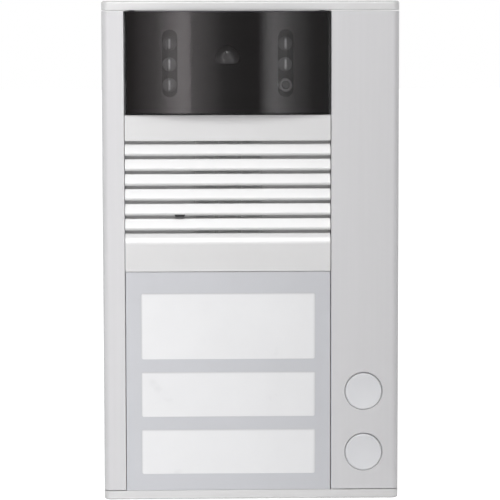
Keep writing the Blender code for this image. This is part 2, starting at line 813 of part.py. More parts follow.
def camera_pan_ring():
    """Ring that swings on two upright pins in the cradle and holds the camera's level pins."""
    profile = [
        (RING_INNER, RING_DEPTH / 2),
        (RING_OUTER, RING_DEPTH / 2),
        (RING_OUTER, -RING_DEPTH / 2),
        (RING_INNER, -RING_DEPTH / 2),
    ]
    centre = Vector((MODULE_X, CAMERA_Y, CAMERA_Z))
    ring = turned("camera_pan_ring", profile, centre, "dark_grey", INNER_STEPS, ring=True)
    up = Vector((0, 0, 1))
    across = Vector((1, 0, 0))
    root = (RING_INNER + RING_OUTER) / 2
    for index, side in enumerate((-1, 1), 1):
        pin = rod(
            f"pan_pin_{index}",
            centre + up * side * root,
            centre + up * side * (RING_OUTER + PIN_LENGTH),
            PIN_RADIUS,
        )
        join(ring, pin)
    reach = across * CRADLE_INNER
    bore = rod("tilt_bore", centre - reach, centre + reach, PIN_RADIUS + FIT)
    cut(ring, bore)
    return ring


def camera_eyeball():
    """Bored ball that tilts on two level pins in the pan ring."""
    bore = BARREL_RADIUS + FIT
    widest = asin(BALL_HALF / BALL_RADIUS)
    steps = 2 * ARC_STEPS
    skin = []
    for step in range(steps + 1):
        angle = widest * (1 - 2 * step / steps)
        skin.append((BALL_RADIUS * cos(angle), BALL_RADIUS * sin(angle)))
    profile = [(bore, BALL_HALF), *skin, (bore, -BALL_HALF)]
    centre = Vector((MODULE_X, CAMERA_Y, CAMERA_Z))
    ball = turned("camera_eyeball", profile, centre, "black_plastic", INNER_STEPS, ring=True)
    across = Vector((1, 0, 0))
    for index, side in enumerate((-1, 1), 1):
        pin = rod(
            f"tilt_pin_{index}",
            centre + across * side * (bore + BALL_RADIUS) / 2,
            centre + across * side * (RING_OUTER - FIT),
            PIN_RADIUS,
        )
        join(ball, pin)
    return ball


def camera_optics():
    """Lens barrel, its front glass and the image sensor board, all carried by the eyeball."""
    centre = (MODULE_X, CAMERA_Y, CAMERA_Z)
    seat = BARREL_FRONT - GLASS_THICKNESS
    throat = BARREL_BORE / 2
    barrel_profile = [
        (BARREL_BORE, BARREL_FRONT),
        (BARREL_RADIUS - FIT, BARREL_FRONT),
        (BARREL_RADIUS, BARREL_FRONT - FIT),
        (BARREL_RADIUS, -BALL_HALF),
        (throat, -BALL_HALF),
        (throat, seat - FIT),
        (BARREL_BORE, seat - FIT),
    ]
    barrel = turned("camera_barrel", barrel_profile, centre, "black_plastic", INNER_STEPS, ring=True)
    bow = (GLASS_RADIUS ** 2 + GLASS_DOME ** 2) / (2 * GLASS_DOME)
    widest = asin(GLASS_RADIUS / bow)
    dome = []
    for step in range(ARC_STEPS + 1):
        angle = widest * step / ARC_STEPS
        dome.append((bow * sin(angle), BARREL_FRONT + GLASS_DOME - bow * (1 - cos(angle))))
    glass_profile = [*dome, (GLASS_RADIUS, seat), (0.0, seat)]
    glass = turned("camera_glass", glass_profile, centre, "lens", INNER_STEPS)
    half = SENSOR_BOARD / 2
    front = CAMERA_Y + BALL_HALF + FIT
    sensor = block(
        "image_sensor",
        (MODULE_X - half, front, CAMERA_Z - half),
        (MODULE_X + half, front + SENSOR_BOARD_THICKNESS, CAMERA_Z + half),
        "board",
    )
    return [barrel, glass, sensor]


def camera():
    """The camera's moving pieces on the empties that mark their two axes."""
    centre = (MODULE_X, CAMERA_Y, CAMERA_Z)
    tilt = hang("camera_tilt_axis", centre, [camera_eyeball(), *camera_optics()])
    hang("camera_pan_axis", centre, [camera_pan_ring(), tilt])


# Speaker module


def louvre_front():
    """Front of the grille from the top down: level slots, each above a flat ramp that ends in a round nose."""
    rise = LOUVRE_PITCH - LOUVRE_GAP
    points = [(FRONT, GRILLE_TOP), (FRONT, GRILLE_TOP - TOP_BAND)]
    for louvre in range(LOUVRES):
        top = GRILLE_TOP - TOP_BAND - louvre * LOUVRE_PITCH
        foot = top - LOUVRE_GAP
        last = louvre == LOUVRES - 1
        nose = LAST_NOSE if last else LOUVRE_NOSE
        end = 0.0 if last else -pi / 2
        drop = rise if last else rise - nose
        slope = asin(nose / hypot(LOUVRE_SET - nose, drop)) + atan2(LOUVRE_SET - nose, drop)
        points += [(FRONT + GROOVE_DEPTH, top), (FRONT + GROOVE_DEPTH, foot), (FRONT + LOUVRE_SET, foot)]
        for step in range(ARC_STEPS + 1):
            angle = slope + (end - slope) * step / ARC_STEPS
            points.append((FRONT + nose * (1 - cos(angle)), foot - drop + nose * sin(angle)))
    points.append((FRONT, GRILLE_FOOT))
    return points


def sound_field():
    """Foot and head of the stretch of slots that opens to the loudspeaker."""
    head = GRILLE_TOP - TOP_BAND + LOUVRE_GAP
    foot = GRILLE_TOP - TOP_BAND - (LOUVRES - 1) * LOUVRE_PITCH - 2 * LOUVRE_GAP
    return foot, head


def speaker_grille():
    """Louvred grille: blind slots over its full width, opened to the back over the loudspeaker."""
    outline = louvre_front() + [(SEAT, GRILLE_FOOT), (SEAT, GRILLE_TOP)]
    left = MODULE_X - MODULE_HALF
    grille = slab("speaker_grille", [outline], "X", left, MODULE_X + MODULE_HALF, "silver_plastic")
    hollow = slab(
        "grille_hollow",
        [module_rectangle(GRILLE_FOOT, GRILLE_TOP, SKIRT_WALL)],
        "Y",
        FRONT + PANEL_WALL,
        SEAT + SKIRT_WALL,
    )
    foot, head = sound_field()
    bay = (SOUND_WIDTH - (SOUND_BAYS - 1) * SOUND_RIB) / SOUND_BAYS
    bays = []
    for index in range(SOUND_BAYS):
        start = MODULE_X - SOUND_WIDTH / 2 + index * (bay + SOUND_RIB)
        bays.append(rectangle(start, foot, start + bay, head))
    sound = slab(
        "grille_sound_bays", bays, "Y", FRONT + GROOVE_DEPTH - SOUND_BITE, FRONT + PANEL_WALL + SKIRT_WALL
    )
    slot = GRILLE_TOP - TOP_BAND - (LOUVRES - 2) * LOUVRE_PITCH
    half = MIC_WIDTH / 2
    notch = slab(
        "grille_mic_notch",
        [
            [
                (MIC_X - half, slot + MIC_HEIGHT),
                (MIC_X + half, slot + MIC_HEIGHT),
                (MIC_X + half - MIC_HEIGHT, slot - FIT),
                (MIC_X - half + MIC_HEIGHT, slot - FIT),
            ]
        ],
        "Y",
        FRONT - CASE_WALL,
        FRONT + PANEL_WALL + SKIRT_WALL,
    )
    cut(grille, hollow, sound, notch)


def sound_mesh():
    """Dust cloth on the back of the grille, over the open slots."""
    foot, head = sound_field()
    half = SOUND_WIDTH / 2 + MESH_LAP
    front = FRONT + PANEL_WALL + FIT
    outline = [rectangle(MODULE_X - half, foot - MESH_LAP, MODULE_X + half, head + MESH_LAP)]
    slab("sound_mesh", outline, "Y", front, front + MESH_THICKNESS, "foam")


def microphone():
    """Capsule in a rubber boot behind the grille's microphone notch."""
    slot = GRILLE_TOP - TOP_BAND - (LOUVRES - 2) * LOUVRE_PITCH
    back = SEAT
    depth = SEAT - FRONT - PANEL_WALL - FIT
    outer = MIC_RADIUS + FIT + BOOT_WALL
    inner = MIC_RADIUS + FIT
    floor = BOOT_WALL / 2
    boot = [(0.0, floor), (inner, floor), (inner, depth), (outer, depth), (outer, 0.0), (0.0, 0.0)]
    turned("microphone_boot", boot, (MIC_X, back, slot), "rubber", SMALL_STEPS)
    capsule = [
        (0.0, depth - FIT),
        (MIC_RADIUS, depth - FIT),
        (MIC_RADIUS, floor + FIT),
        (0.0, floor + FIT),
    ]
    turned("microphone_capsule", capsule, (MIC_X, back, slot), "zinc", SMALL_STEPS)


def loudspeaker():
    """Foam ring, basket, cone and magnet of the loudspeaker behind the recess floor."""
    centre_x, centre_z = MODULE_X, SPEAKER_Z
    foam_front = FLOOR_BACK + FIT
    foam = [
        (SPEAKER_OPENING, FOAM_THICKNESS),
        (SPEAKER_RADIUS, FOAM_THICKNESS),
        (SPEAKER_RADIUS, 0.0),
        (SPEAKER_OPENING, 0.0),
    ]
    foam_place = (centre_x, foam_front + FOAM_THICKNESS, centre_z)
    turned("speaker_gasket", foam, foam_place, "foam", INNER_STEPS, ring=True)
    front = foam_front + FOAM_THICKNESS + FIT
    shoulder = SPEAKER_OPENING - SPEAKER_SKIN
    basket = [
        (shoulder, 0.0),
        (SPEAKER_RADIUS, 0.0),
        (SPEAKER_RADIUS, -SPEAKER_FLANGE),
        (SPEAKER_OPENING, -SPEAKER_FLANGE),
        (SPEAKER_NECK + SPEAKER_SKIN, -SPEAKER_DEPTH),
        (SPEAKER_POLE, -SPEAKER_DEPTH),
        (SPEAKER_POLE, SPEAKER_SKIN - SPEAKER_DEPTH),
        (SPEAKER_NECK, SPEAKER_SKIN - SPEAKER_DEPTH),
        (shoulder, -SPEAKER_FLANGE),
    ]
    turned("speaker_basket", basket, (centre_x, front, centre_z), "zinc", INNER_STEPS, ring=True)
    rim = shoulder - FIT
    slope_end = SPEAKER_NECK - CONE_THROAT / 2
    deep = SPEAKER_SKIN + FIT + CONE_SKIN - SPEAKER_DEPTH
    cone = [
        (0.0, deep + CONE_THROAT / 2),
        (CONE_THROAT / 2, deep + CONE_THROAT / 3),
        (slope_end, deep),
        (rim - CONE_SKIN, -FIT),
        (rim, -FIT),
        (rim, -FIT - CONE_SKIN),
        (slope_end + CONE_SKIN, deep - CONE_SKIN),
        (0.0, deep - CONE_SKIN),
    ]
    turned("speaker_cone", cone, (centre_x, front, centre_z), "paper_cone", INNER_STEPS)
    bore = SPEAKER_POLE - FIT
    magnet = [
        (0.0, -SPEAKER_DEPTH - FIT),
        (MAGNET_RADIUS, -SPEAKER_DEPTH - FIT),
        (MAGNET_RADIUS, -SPEAKER_DEPTH - FIT - MAGNET_HEIGHT),
        (bore, -SPEAKER_DEPTH - FIT - MAGNET_HEIGHT),
        (bore, -SPEAKER_DEPTH - FIT - MAGNET_HEIGHT / 2),
        (0.0, -SPEAKER_DEPTH - FIT - MAGNET_HEIGHT / 2),
    ]
    turned("speaker_magnet", magnet, (centre_x, front, centre_z), "zinc", INNER_STEPS)


# Name field


def name_field():
    """Frame with three windows, their panes and cards, the light guide and the tray that holds them."""
    left = MODULE_X - MODULE_HALF + NAME_MARGIN
    right = MODULE_X + MODULE_HALF - NAME_MARGIN
    windows = name_windows()
    face = FRONT + NAME_SETBACK
    loops = [module_rectangle(NAME_FOOT, NAME_TOP, 0.0)]
    loops += [rectangle(left, foot, right, head, NAME_CORNER) for foot, head in windows]
    slab("name_frame", loops, "Y", face, face + NAME_WALL, "grey_plastic")
    pane = face + NAME_WALL + FIT
    card = pane + PANE_THICKNESS + FIT
    guide = card + CARD_THICKNESS + FIT
    guide_back = guide + GUIDE_THICKNESS
    for index, (foot, head) in enumerate(windows, 1):
        outline = [rectangle(left - PANE_LAP, foot - PANE_LAP, right + PANE_LAP, head + PANE_LAP)]
        slab(f"label_pane_{index}", outline, "Y", pane, pane + PANE_THICKNESS, "clear")
        slab(f"label_card_{index}", outline, "Y", card, card + CARD_THICKNESS, "card")
    inset = TRAY_WALL + FIT
    guide_outline = [module_rectangle(NAME_FOOT, NAME_TOP, inset)]
    slab("light_guide", guide_outline, "Y", guide, guide_back, "white_plastic")
    tray = slab(
        "label_tray",
        [module_rectangle(NAME_FOOT, NAME_TOP, 0.0), module_rectangle(NAME_FOOT, NAME_TOP, TRAY_LEDGE)],
        "Y",
        pane,
        SEAT,
        "white_plastic",
    )
    sunk = [module_rectangle(NAME_FOOT, NAME_TOP, TRAY_WALL)]
    cut(tray, slab("tray_ledge", sunk, "Y", pane - FIT, guide_back + FIT))


def backlight():
    """Board behind the recess floor with one lamp for each label."""
    windows = name_windows()
    half = MODULE_HALF - NAME_MARGIN - BACKLIGHT_INSET / 2
    foot = windows[2][0] - PANE_LAP
    head = windows[0][1] + PANE_LAP
    back_face = FLOOR_BACK + FIT
    outline = [rectangle(MODULE_X - half, foot, MODULE_X + half, head, CHIP_SIZE)]
    slab("backlight_board", outline, "Y", back_face, back_face + BOARD, "board")
    for index, (foot, head) in enumerate(windows, 1):
        middle = (foot + head) / 2
        block(
            f"backlight_lamp_{index}",
            (MODULE_X - CHIP_SIZE / 2, back_face - FIT - CHIP_HEIGHT, middle - CHIP_SIZE / 2),
            (MODULE_X + CHIP_SIZE / 2, back_face - FIT, middle + CHIP_SIZE / 2),
            "card",
        )


# Call buttons

COLLAR_FRONT = FRONT + CASE_WALL + FIT
COLLAR_BACK = COLLAR_FRONT + COLLAR_HEIGHT
GUIDE_FRONT = COLLAR_BACK + FIT + SPRING_LENGTH + FIT
GUIDE_BACK = GUIDE_FRONT + GUIDE_WALL
STEM_END = GUIDE_BACK + STEM_OVERRUN
PLUNGER_TIP = STEM_END + FIT
SWITCH_FRONT = PLUNGER_TIP + BUTTON_TRAVEL + PLUNGER_SPARE
PLUNGER_END = SWITCH_FRONT + PLUNGER_HOLD
SWITCH_BACK = SWITCH_FRONT + SWITCH_HEIGHT
SWITCH_BOARD_FRONT = SWITCH_BACK + FIT
COLLAR_RADIUS = BUTTON_RADIUS + COLLAR_WIDTH


def call_button(index, height):
    """Dished cap with the collar that holds it behind the strip and the stem that works its switch."""
    top = BUTTON_PROUD
    collar_front = FRONT - COLLAR_FRONT
    collar_back = FRONT - COLLAR_BACK
    stem_end = FRONT - STEM_END
    dish_radius = BUTTON_RADIUS - BUTTON_EDGE
    dish = []
    for step in range(ARC_STEPS + 1):
        share = step / ARC_STEPS
        dish.append((dish_radius * share, top - BUTTON_DISH * (1 - share ** 2)))
    profile = dish + [
        (BUTTON_RADIUS, top - BUTTON_EDGE),
        (BUTTON_RADIUS, collar_front),
        (COLLAR_RADIUS, collar_front),
        (COLLAR_RADIUS, collar_back),
        (STEM_RADIUS, collar_back),
        (STEM_RADIUS, stem_end),
        (0.0, stem_end),
    ]
    turned(f"call_button_{index}", profile, (BUTTON_X, FRONT, height), "silver_plastic")


def button_spring(index, height):
    """Coil spring round the stem, from the collar to the guide."""
    steps = COIL_STEPS * SPRING_TURNS
    wire = SPRING_WIRE / 2
    rise = SPRING_LENGTH - SPRING_WIRE
    curve = bpy.data.curves.new(f"button_spring_{index}", "CURVE")
    curve.dimensions = "3D"
    curve.fill_mode = "FULL"
    curve.bevel_depth = wire
    curve.bevel_resolution = 1
    curve.use_fill_caps = True
    spline = curve.splines.new("POLY")
    spline.points.add(steps)
    places = []
    for step in range(steps + 1):
        angle = 2 * pi * SPRING_TURNS * step / steps
        climb = wire + rise * step / steps
        place = Vector((SPRING_RADIUS * cos(angle), climb, SPRING_RADIUS * sin(angle)))
        spline.points[step].co = (*place, 1.0)
        places.append(place)
    least = min(
        (places[first] - places[second]).length - SPRING_WIRE
        for first in range(steps + 1)
        for second in range(first + COIL_STEPS // 2, steps + 1)
    )
    print(f"button_spring_{index} least gap between turns {least * 1000:.2f} mm")
    obj = bpy.data.objects.new(f"button_spring_{index}", curve)
    obj.matrix_world = Matrix.Translation((BUTTON_X, COLLAR_BACK + FIT, height))
    as_mesh(obj, "steel")


def button_carrier():
    """Tray behind the wide strip: it guides both stems and carries the switch board on four posts."""
    upper, lower = button_heights()
    reach = COLLAR_RADIUS + GUIDE_WALL + SEAM
    head = upper + reach
    foot = lower - reach
    carrier = slab(
        "button_carrier",
        [rectangle(STRIP_LEFT, foot, STRIP_RIGHT, head, GUIDE_WALL)],
        "Y",
        COLLAR_FRONT,
        GUIDE_BACK,
        "dark_grey",
    )
    left = STRIP_LEFT + GUIDE_WALL
    right = STRIP_RIGHT - GUIDE_WALL
    sunk = [rectangle(left, foot + GUIDE_WALL, right, head - GUIDE_WALL)]
    well = slab("carrier_well", sunk, "Y", COLLAR_FRONT - GUIDE_WALL, GUIDE_FRONT)
    bores = [circle(BUTTON_X, height, STEM_RADIUS + FIT, INNER_STEPS) for height in (upper, lower)]
    stems = slab("carrier_stem_bores", bores, "Y", GUIDE_FRONT - GUIDE_WALL, GUIDE_BACK + GUIDE_WALL)
    cut(carrier, well, stems)
    for name, x, z in switch_posts():
        post = rod(name, (x, GUIDE_BACK - FIT, z), (x, SWITCH_BOARD_FRONT - FIT, z), GUIDE_WALL)
        join(carrier, post)


def switch_posts():
    """Names and places of the posts that carry the switch board, one at each corner."""
    left = STRIP_LEFT + 2 * GUIDE_WALL
    right = STRIP_RIGHT - 2 * GUIDE_WALL
    upper, lower = button_heights()
    posts = []
    for z in (upper + COLLAR_RADIUS - GUIDE_WALL, lower - COLLAR_RADIUS + GUIDE_WALL):
        for x in (left, right):
            posts.append((f"carrier_post_{len(posts) + 1}", x, z))
    return posts


def switches():
    """Switch board with one push switch behind each stem."""
    upper, lower = button_heights()
    foot = lower - COLLAR_RADIUS
    head = upper + COLLAR_RADIUS
    outline = [rectangle(STRIP_LEFT, foot, STRIP_RIGHT, head, GUIDE_WALL)]
    slab("switch_board", outline, "Y", SWITCH_BOARD_FRONT, SWITCH_BOARD_FRONT + BOARD, "board")
    half = SWITCH_SIZE / 2
    for index, height in enumerate((upper, lower), 1):
        body = block(
            f"switch_body_{index}",
            (BUTTON_X - half, SWITCH_FRONT, height - half),
            (BUTTON_X + half, SWITCH_BACK, height + half),
            "black_plastic",
        )
        bore = rod(
            f"switch_bore_{index}",
            (BUTTON_X, SWITCH_FRONT - GUIDE_WALL, height),
            (BUTTON_X, SWITCH_BACK - SWITCH_FLOOR, height),
            PLUNGER_RADIUS + FIT,
        )
        cut(body, bore)
        rod(
            f"switch_plunger_{index}",
            (BUTTON_X, PLUNGER_TIP, height),
            (BUTTON_X, PLUNGER_END, height),
            PLUNGER_RADIUS,
            "white_plastic",
        )


# Wall base


def base_posts():
    """Places of the four posts that carry the main board."""
    half = MAIN_BOARD_WIDTH / 2 - POST_INSET
    head = MAIN_FOOT + MAIN_BOARD_HEIGHT
    return [(x, z) for x in (-half, half) for z in (MAIN_FOOT + POST_INSET, head - POST_INSET)]


def rear_base():
    """Moulded base on the wall: a rim inside the profile, fixing slots, board posts and cable entry."""
    half = HALF_WIDTH - CASE_WALL - FIT
    rise = CAP_FACE - FIT
    floor = rectangle(-half, -rise, half, rise, EDGE_RADIUS)
    base = slab("rear_base", [floor], "Y", -BASE_WALL - RIM_HEIGHT, 0.0, "dark_grey")
    hollow = slab(
        "base_hollow",
        [rectangle(-half + RIM_WALL, -rise + RIM_WALL, half - RIM_WALL, rise - RIM_WALL, EDGE_RADIUS)],
        "Y",
        -BASE_WALL - 2 * RIM_HEIGHT,
        -BASE_WALL,
    )
    across = half - FIXING_INSET_X
    up = rise - FIXING_INSET_Z
    slots = []
    for x in (-across, across):
        for z in (-up, up):
            slots.append(oblong(x, z, FIXING_WIDTH, FIXING_HEIGHT, FIXING_WIDTH / 2 - FIT))
    slots.append(oblong(0.0, ENTRY_Z, ENTRY_WIDTH, ENTRY_HEIGHT, EDGE_RADIUS))
    openings = slab("base_openings", slots, "Y", -2 * BASE_WALL, BASE_WALL)
    cut(base, hollow, openings)
    for index, (x, z) in enumerate(base_posts(), 1):
        post = turned(
            f"base_post_{index}",
            [
                (0.0, POST_HEIGHT + PEG_LENGTH),
                (PEG_RADIUS, POST_HEIGHT + PEG_LENGTH),
                (PEG_RADIUS, POST_HEIGHT),
                (POST_RADIUS, POST_HEIGHT),
                (POST_RADIUS, -FIT),
                (0.0, -FIT),
            ],
            (x, -BASE_WALL, z),
            steps=SMALL_STEPS,
        )
        join(base, post)
    lock = rod(
        "base_lock_bore",
        (0.0, -LOCK_SETBACK, -rise - RIM_WALL),
        (0.0, -LOCK_SETBACK, -rise + 2 * RIM_WALL),
        SCREW_RADIUS + FIT,
    )
    cut(base, lock)


def cable_grommet():
    """Rubber plug in the cable entry, with a thin skin that the installer pierces."""
    front = -BASE_WALL - FIT
    lip_width = ENTRY_WIDTH + 2 * GROMMET_LIP
    lip_height = ENTRY_HEIGHT + 2 * GROMMET_LIP
    lip_outline = [oblong(0.0, ENTRY_Z, lip_width, lip_height, EDGE_RADIUS + GROMMET_LIP)]
    lip = slab("cable_grommet", lip_outline, "Y", front - GROMMET_WALL, front, "rubber")
    plug_width = ENTRY_WIDTH - 2 * FIT
    plug_height = ENTRY_HEIGHT - 2 * FIT
    plug_outline = [oblong(0.0, ENTRY_Z, plug_width, plug_height, EDGE_RADIUS - FIT)]
    plug = slab("grommet_plug", plug_outline, "Y", front - GROMMET_WALL / 2, -FIT)
    well_width = plug_width - 2 * GROMMET_WALL
    well_height = plug_height - 2 * GROMMET_WALL
    well_outline = [oblong(0.0, ENTRY_Z, well_width, well_height, EDGE_RADIUS / 2)]
    well = slab("grommet_well", well_outline, "Y", front - GROMMET_WALL + GROMMET_SKIN, BASE_WALL)
    join(lip, plug)
    cut(lip, well)


def main_board():
    """Main board on the base's posts."""
    half = MAIN_BOARD_WIDTH / 2
    head = MAIN_FOOT + MAIN_BOARD_HEIGHT
    loops = [rectangle(-half, MAIN_FOOT, half, head, POST_RADIUS)]
    loops += [circle(x, z, PEG_RADIUS + FIT, SMALL_STEPS) for x, z in base_posts()]
    slab("main_board", loops, "Y", BOARD_Y - BOARD, BOARD_Y, "board")


def terminal_block():
    """Screw terminals for the house wiring, on the front of the main board."""
    back = BOARD_Y - BOARD - FIT
    front = back - TERMINAL_DEPTH
    foot = MAIN_FOOT + TERMINAL_LIFT
    left = -TERMINAL_WIDTH / 2
    block_body = block(
        "terminal_block",
        (left, front, foot),
        (left + TERMINAL_WIDTH, back, foot + TERMINAL_HEIGHT),
        "terminal",
    )
    pitch = TERMINAL_WIDTH / TERMINAL_WAYS
    centres = [left + pitch * (way + 0.5) for way in range(TERMINAL_WAYS)]
    wires = slab(
        "terminal_wire_holes",
        [
            rectangle(x - pitch / 3, back - TERMINAL_DEPTH / 2, x + pitch / 3, back - TERMINAL_DEPTH / 6)
            for x in centres
        ],
        "Z",
        foot - TERMINAL_HEIGHT / 2,
        foot + TERMINAL_HEIGHT / 2,
    )
    screws = slab(
        "terminal_screw_holes",
        [circle(x, foot + TERMINAL_HEIGHT * 2 / 3, pitch / 3, SMALL_STEPS) for x in centres],
        "Y",
        front - TERMINAL_DEPTH / 3,
        front + TERMINAL_DEPTH / 3,
    )
    cut(block_body, wires, screws)


def speaker_lead():
    """Lead from the loudspeaker's rim down to the head of the main board."""
    start_y = FLOOR_BACK + FIT + FOAM_THICKNESS + FIT + SPEAKER_FLANGE + FIT
    start_z = SPEAKER_Z - (SPEAKER_RADIUS + SPEAKER_OPENING) / 2
    end_y = BOARD_Y - BOARD - FIT
    end_z = MAIN_FOOT + MAIN_BOARD_HEIGHT - POST_INSET
    fall = start_z - end_z
    slack = CASE_DEPTH / 8
    stops = [
        Vector((MODULE_X, start_y, start_z)),
        Vector((MODULE_X, start_y + slack, start_z)),
        Vector((MODULE_X + slack, (start_y + end_y) / 2, start_z - fall / 3)),
        Vector((MODULE_X - slack, (start_y + end_y) / 2, end_z + fall / 3)),
        Vector((MODULE_X, end_y - slack, end_z)),
        Vector((MODULE_X, end_y, end_z)),
    ]
    curve = bpy.data.curves.new("speaker_lead", "CURVE")
    curve.dimensions = "3D"
    curve.fill_mode = "FULL"
    curve.bevel_depth = LEAD_RADIUS
    curve.bevel_resolution = 2
    curve.use_fill_caps = True
    places = smooth_route(stops)
    spline = curve.splines.new("POLY")
    spline.points.add(len(places) - 1)
    for point, place in zip(spline.points, places):
        point.co = (*place, 1.0)
    as_mesh(bpy.data.objects.new("speaker_lead", curve), "lead")


def smooth_route(stops):
    """Points of a smooth curve that passes through each stop."""
    ends = [2 * stops[0] - stops[1], *stops, 2 * stops[-1] - stops[-2]]
    places = []
    for before, start, end, after in zip(ends, ends[1:], ends[2:], ends[3:]):
        for step in range(LEAD_STEPS):
            share = step / LEAD_STEPS
            leave = (end - before) / 2
            arrive = (after - start) / 2
            places.append(
                start
                + leave * share
                + (3 * (end - start) - 2 * leave - arrive) * share ** 2
                + (2 * (start - end) + leave + arrive) * share ** 3
            )
    return places + [stops[-1]]


def build():
    front_profile()
    end_cap("top_end_cap", 1)
    end_cap("bottom_end_cap", -1)
    number = 0
    for side in (1, -1):
        for x in PORTS:
            number += 1
            cap_screw(f"end_cap_screw_{number}", (x, PORT_Y), side)
    cap_screw("locking_screw", (0.0, -LOCK_SETBACK), -1)
    camera_window()
    window_gasket()
    lamp_shroud()
    lamp_board()
    lamps()
    camera_carrier()
    camera()
    speaker_grille()
    sound_mesh()
    microphone()
    loudspeaker()
    name_field()
    backlight()
    for index, height in enumerate(button_heights(), 1):
        call_button(index, height)
        button_spring(index, height)
    button_carrier()
    switches()
    rear_base()
    cable_grommet()
    main_board()
    terminal_block()
    speaker_lead()


clear_scene()
PARTS = new_collection(OBJECT)
CUTTERS = new_collection("cutters")
build()
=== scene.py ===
import json
from math import asin, atan2, cos, hypot, pi, radians

import bmesh
import bpy
from mathutils import Matrix, Vector


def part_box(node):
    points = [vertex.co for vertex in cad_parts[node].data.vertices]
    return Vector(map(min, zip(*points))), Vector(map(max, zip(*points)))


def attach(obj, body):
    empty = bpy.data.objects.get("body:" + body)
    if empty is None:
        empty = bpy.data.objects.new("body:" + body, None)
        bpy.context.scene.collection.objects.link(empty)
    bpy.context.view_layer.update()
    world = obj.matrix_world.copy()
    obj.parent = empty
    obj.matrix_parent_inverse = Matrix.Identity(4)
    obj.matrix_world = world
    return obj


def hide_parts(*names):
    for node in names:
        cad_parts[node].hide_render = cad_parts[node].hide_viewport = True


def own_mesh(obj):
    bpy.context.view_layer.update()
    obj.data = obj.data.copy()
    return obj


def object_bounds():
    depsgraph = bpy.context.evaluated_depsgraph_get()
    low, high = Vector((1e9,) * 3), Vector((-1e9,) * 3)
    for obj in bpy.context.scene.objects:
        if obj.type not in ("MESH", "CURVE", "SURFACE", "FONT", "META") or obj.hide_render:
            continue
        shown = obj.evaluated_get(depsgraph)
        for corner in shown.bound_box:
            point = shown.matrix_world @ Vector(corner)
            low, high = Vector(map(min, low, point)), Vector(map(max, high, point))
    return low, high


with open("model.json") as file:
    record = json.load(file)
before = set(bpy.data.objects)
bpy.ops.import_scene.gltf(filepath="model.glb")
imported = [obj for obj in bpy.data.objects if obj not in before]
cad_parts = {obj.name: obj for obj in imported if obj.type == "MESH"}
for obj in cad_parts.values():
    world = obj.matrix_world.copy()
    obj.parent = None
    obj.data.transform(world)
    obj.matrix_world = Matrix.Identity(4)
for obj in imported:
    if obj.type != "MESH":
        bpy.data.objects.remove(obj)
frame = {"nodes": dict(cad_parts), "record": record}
cad_low, cad_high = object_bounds()
scene = bpy.context.scene

ACROSS = Vector((1, 0, 0))
BACKWARD = Vector((0, 1, 0))
UP = Vector((0, 0, 1))

# Measures in metres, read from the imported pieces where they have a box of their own.
# CLOSE_UP raises the window and the grille's head, so that the seams above them are as fine as the real ones.

profile_low, profile_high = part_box("front_profile")
window_low, window_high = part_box("camera_window")
grille_low, grille_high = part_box("speaker_grille")
name_low, name_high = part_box("name_frame")
HALF_WIDTH = profile_high.x
FRONT = profile_low.y
BACK = profile_high.y
WALL = 0.002
EDGE_RADIUS = 0.0026
LIP = 0.0003
SEAM = 0.0005
RECESS_LEFT = window_low.x - SEAM
RECESS_RIGHT = window_high.x + SEAM
FLOOR_FRONT = FRONT + 0.009
FLOOR_BACK = FLOOR_FRONT + 0.0016
MODULE_X = (window_low.x + window_high.x) / 2
WINDOW_Z = (window_low.z + window_high.z) / 2
CLOSE_UP = 0.0004


# Modelling helpers


def run(bm, vert, *places):
    """Draw straight edges from a vertex through the given places."""
    for place in places:
        vert = bmesh.ops.extrude_vert_indiv(bm, verts=[vert])["verts"][0]
        vert.co = place
    return vert


def sweep(bm, vert, centre, axis, angle, steps):
    """Draw an arc from a vertex, turned about an axis through a centre."""
    made = bmesh.ops.spin(bm, geom=[vert], cent=centre, axis=axis, angle=angle, steps=steps)
    return [item for item in made["geom_last"] if isinstance(item, bmesh.types.BMVert)][0]


def close(bm, first, last):
    """Join the two ends of an outline and fill it."""
    bm.edges.new((last, first))
    return bmesh.ops.contextual_create(bm, geom=bm.edges[:])["faces"][0]


def thicken(bm, face, shift):
    made = bmesh.ops.extrude_face_region(bm, geom=[face])
    moved = [item for item in made["geom"] if isinstance(item, bmesh.types.BMVert)]
    bmesh.ops.translate(bm, verts=moved, vec=shift)
    return [item for item in made["geom"] if isinstance(item, bmesh.types.BMFace)]


def revolve(bm, centre, axis, steps):
    """Turn every edge drawn so far once round an axis."""
    bmesh.ops.spin(
        bm, geom=bm.verts[:] + bm.edges[:], cent=centre, axis=axis, angle=2 * pi, steps=steps, use_merge=True
    )
    bmesh.ops.remove_doubles(bm, verts=bm.verts, dist=1e-6)


def settle(bm):
    bmesh.ops.remove_doubles(bm, verts=bm.verts, dist=1e-7)
    bmesh.ops.recalc_face_normals(bm, faces=bm.faces)


def soften(bm, edges, width, segments=3):
    return bmesh.ops.bevel(
        bm, geom=edges, offset=width, segments=segments, profile=0.5, affect="EDGES", material=-1
    )


def shape(name, bm):
    """An object in the scene from a finished bmesh."""
    settle(bm)
    mesh = bpy.data.meshes.new(name)
    bm.to_mesh(mesh)
    bm.free()
    obj = bpy.data.objects.new(name, mesh)
    scene.collection.objects.link(obj)
    return obj


def bake_modifiers(obj):
    """Apply an object's modifiers to its mesh."""
    bpy.context.view_layer.update()
    graph = bpy.context.evaluated_depsgraph_get()
    seen = obj.evaluated_get(graph)
    mesh = bpy.data.meshes.new_from_object(seen, preserve_all_data_layers=True, depsgraph=graph)
    obj.modifiers.clear()
    obj.data = mesh
    mesh.name = obj.name
    return obj


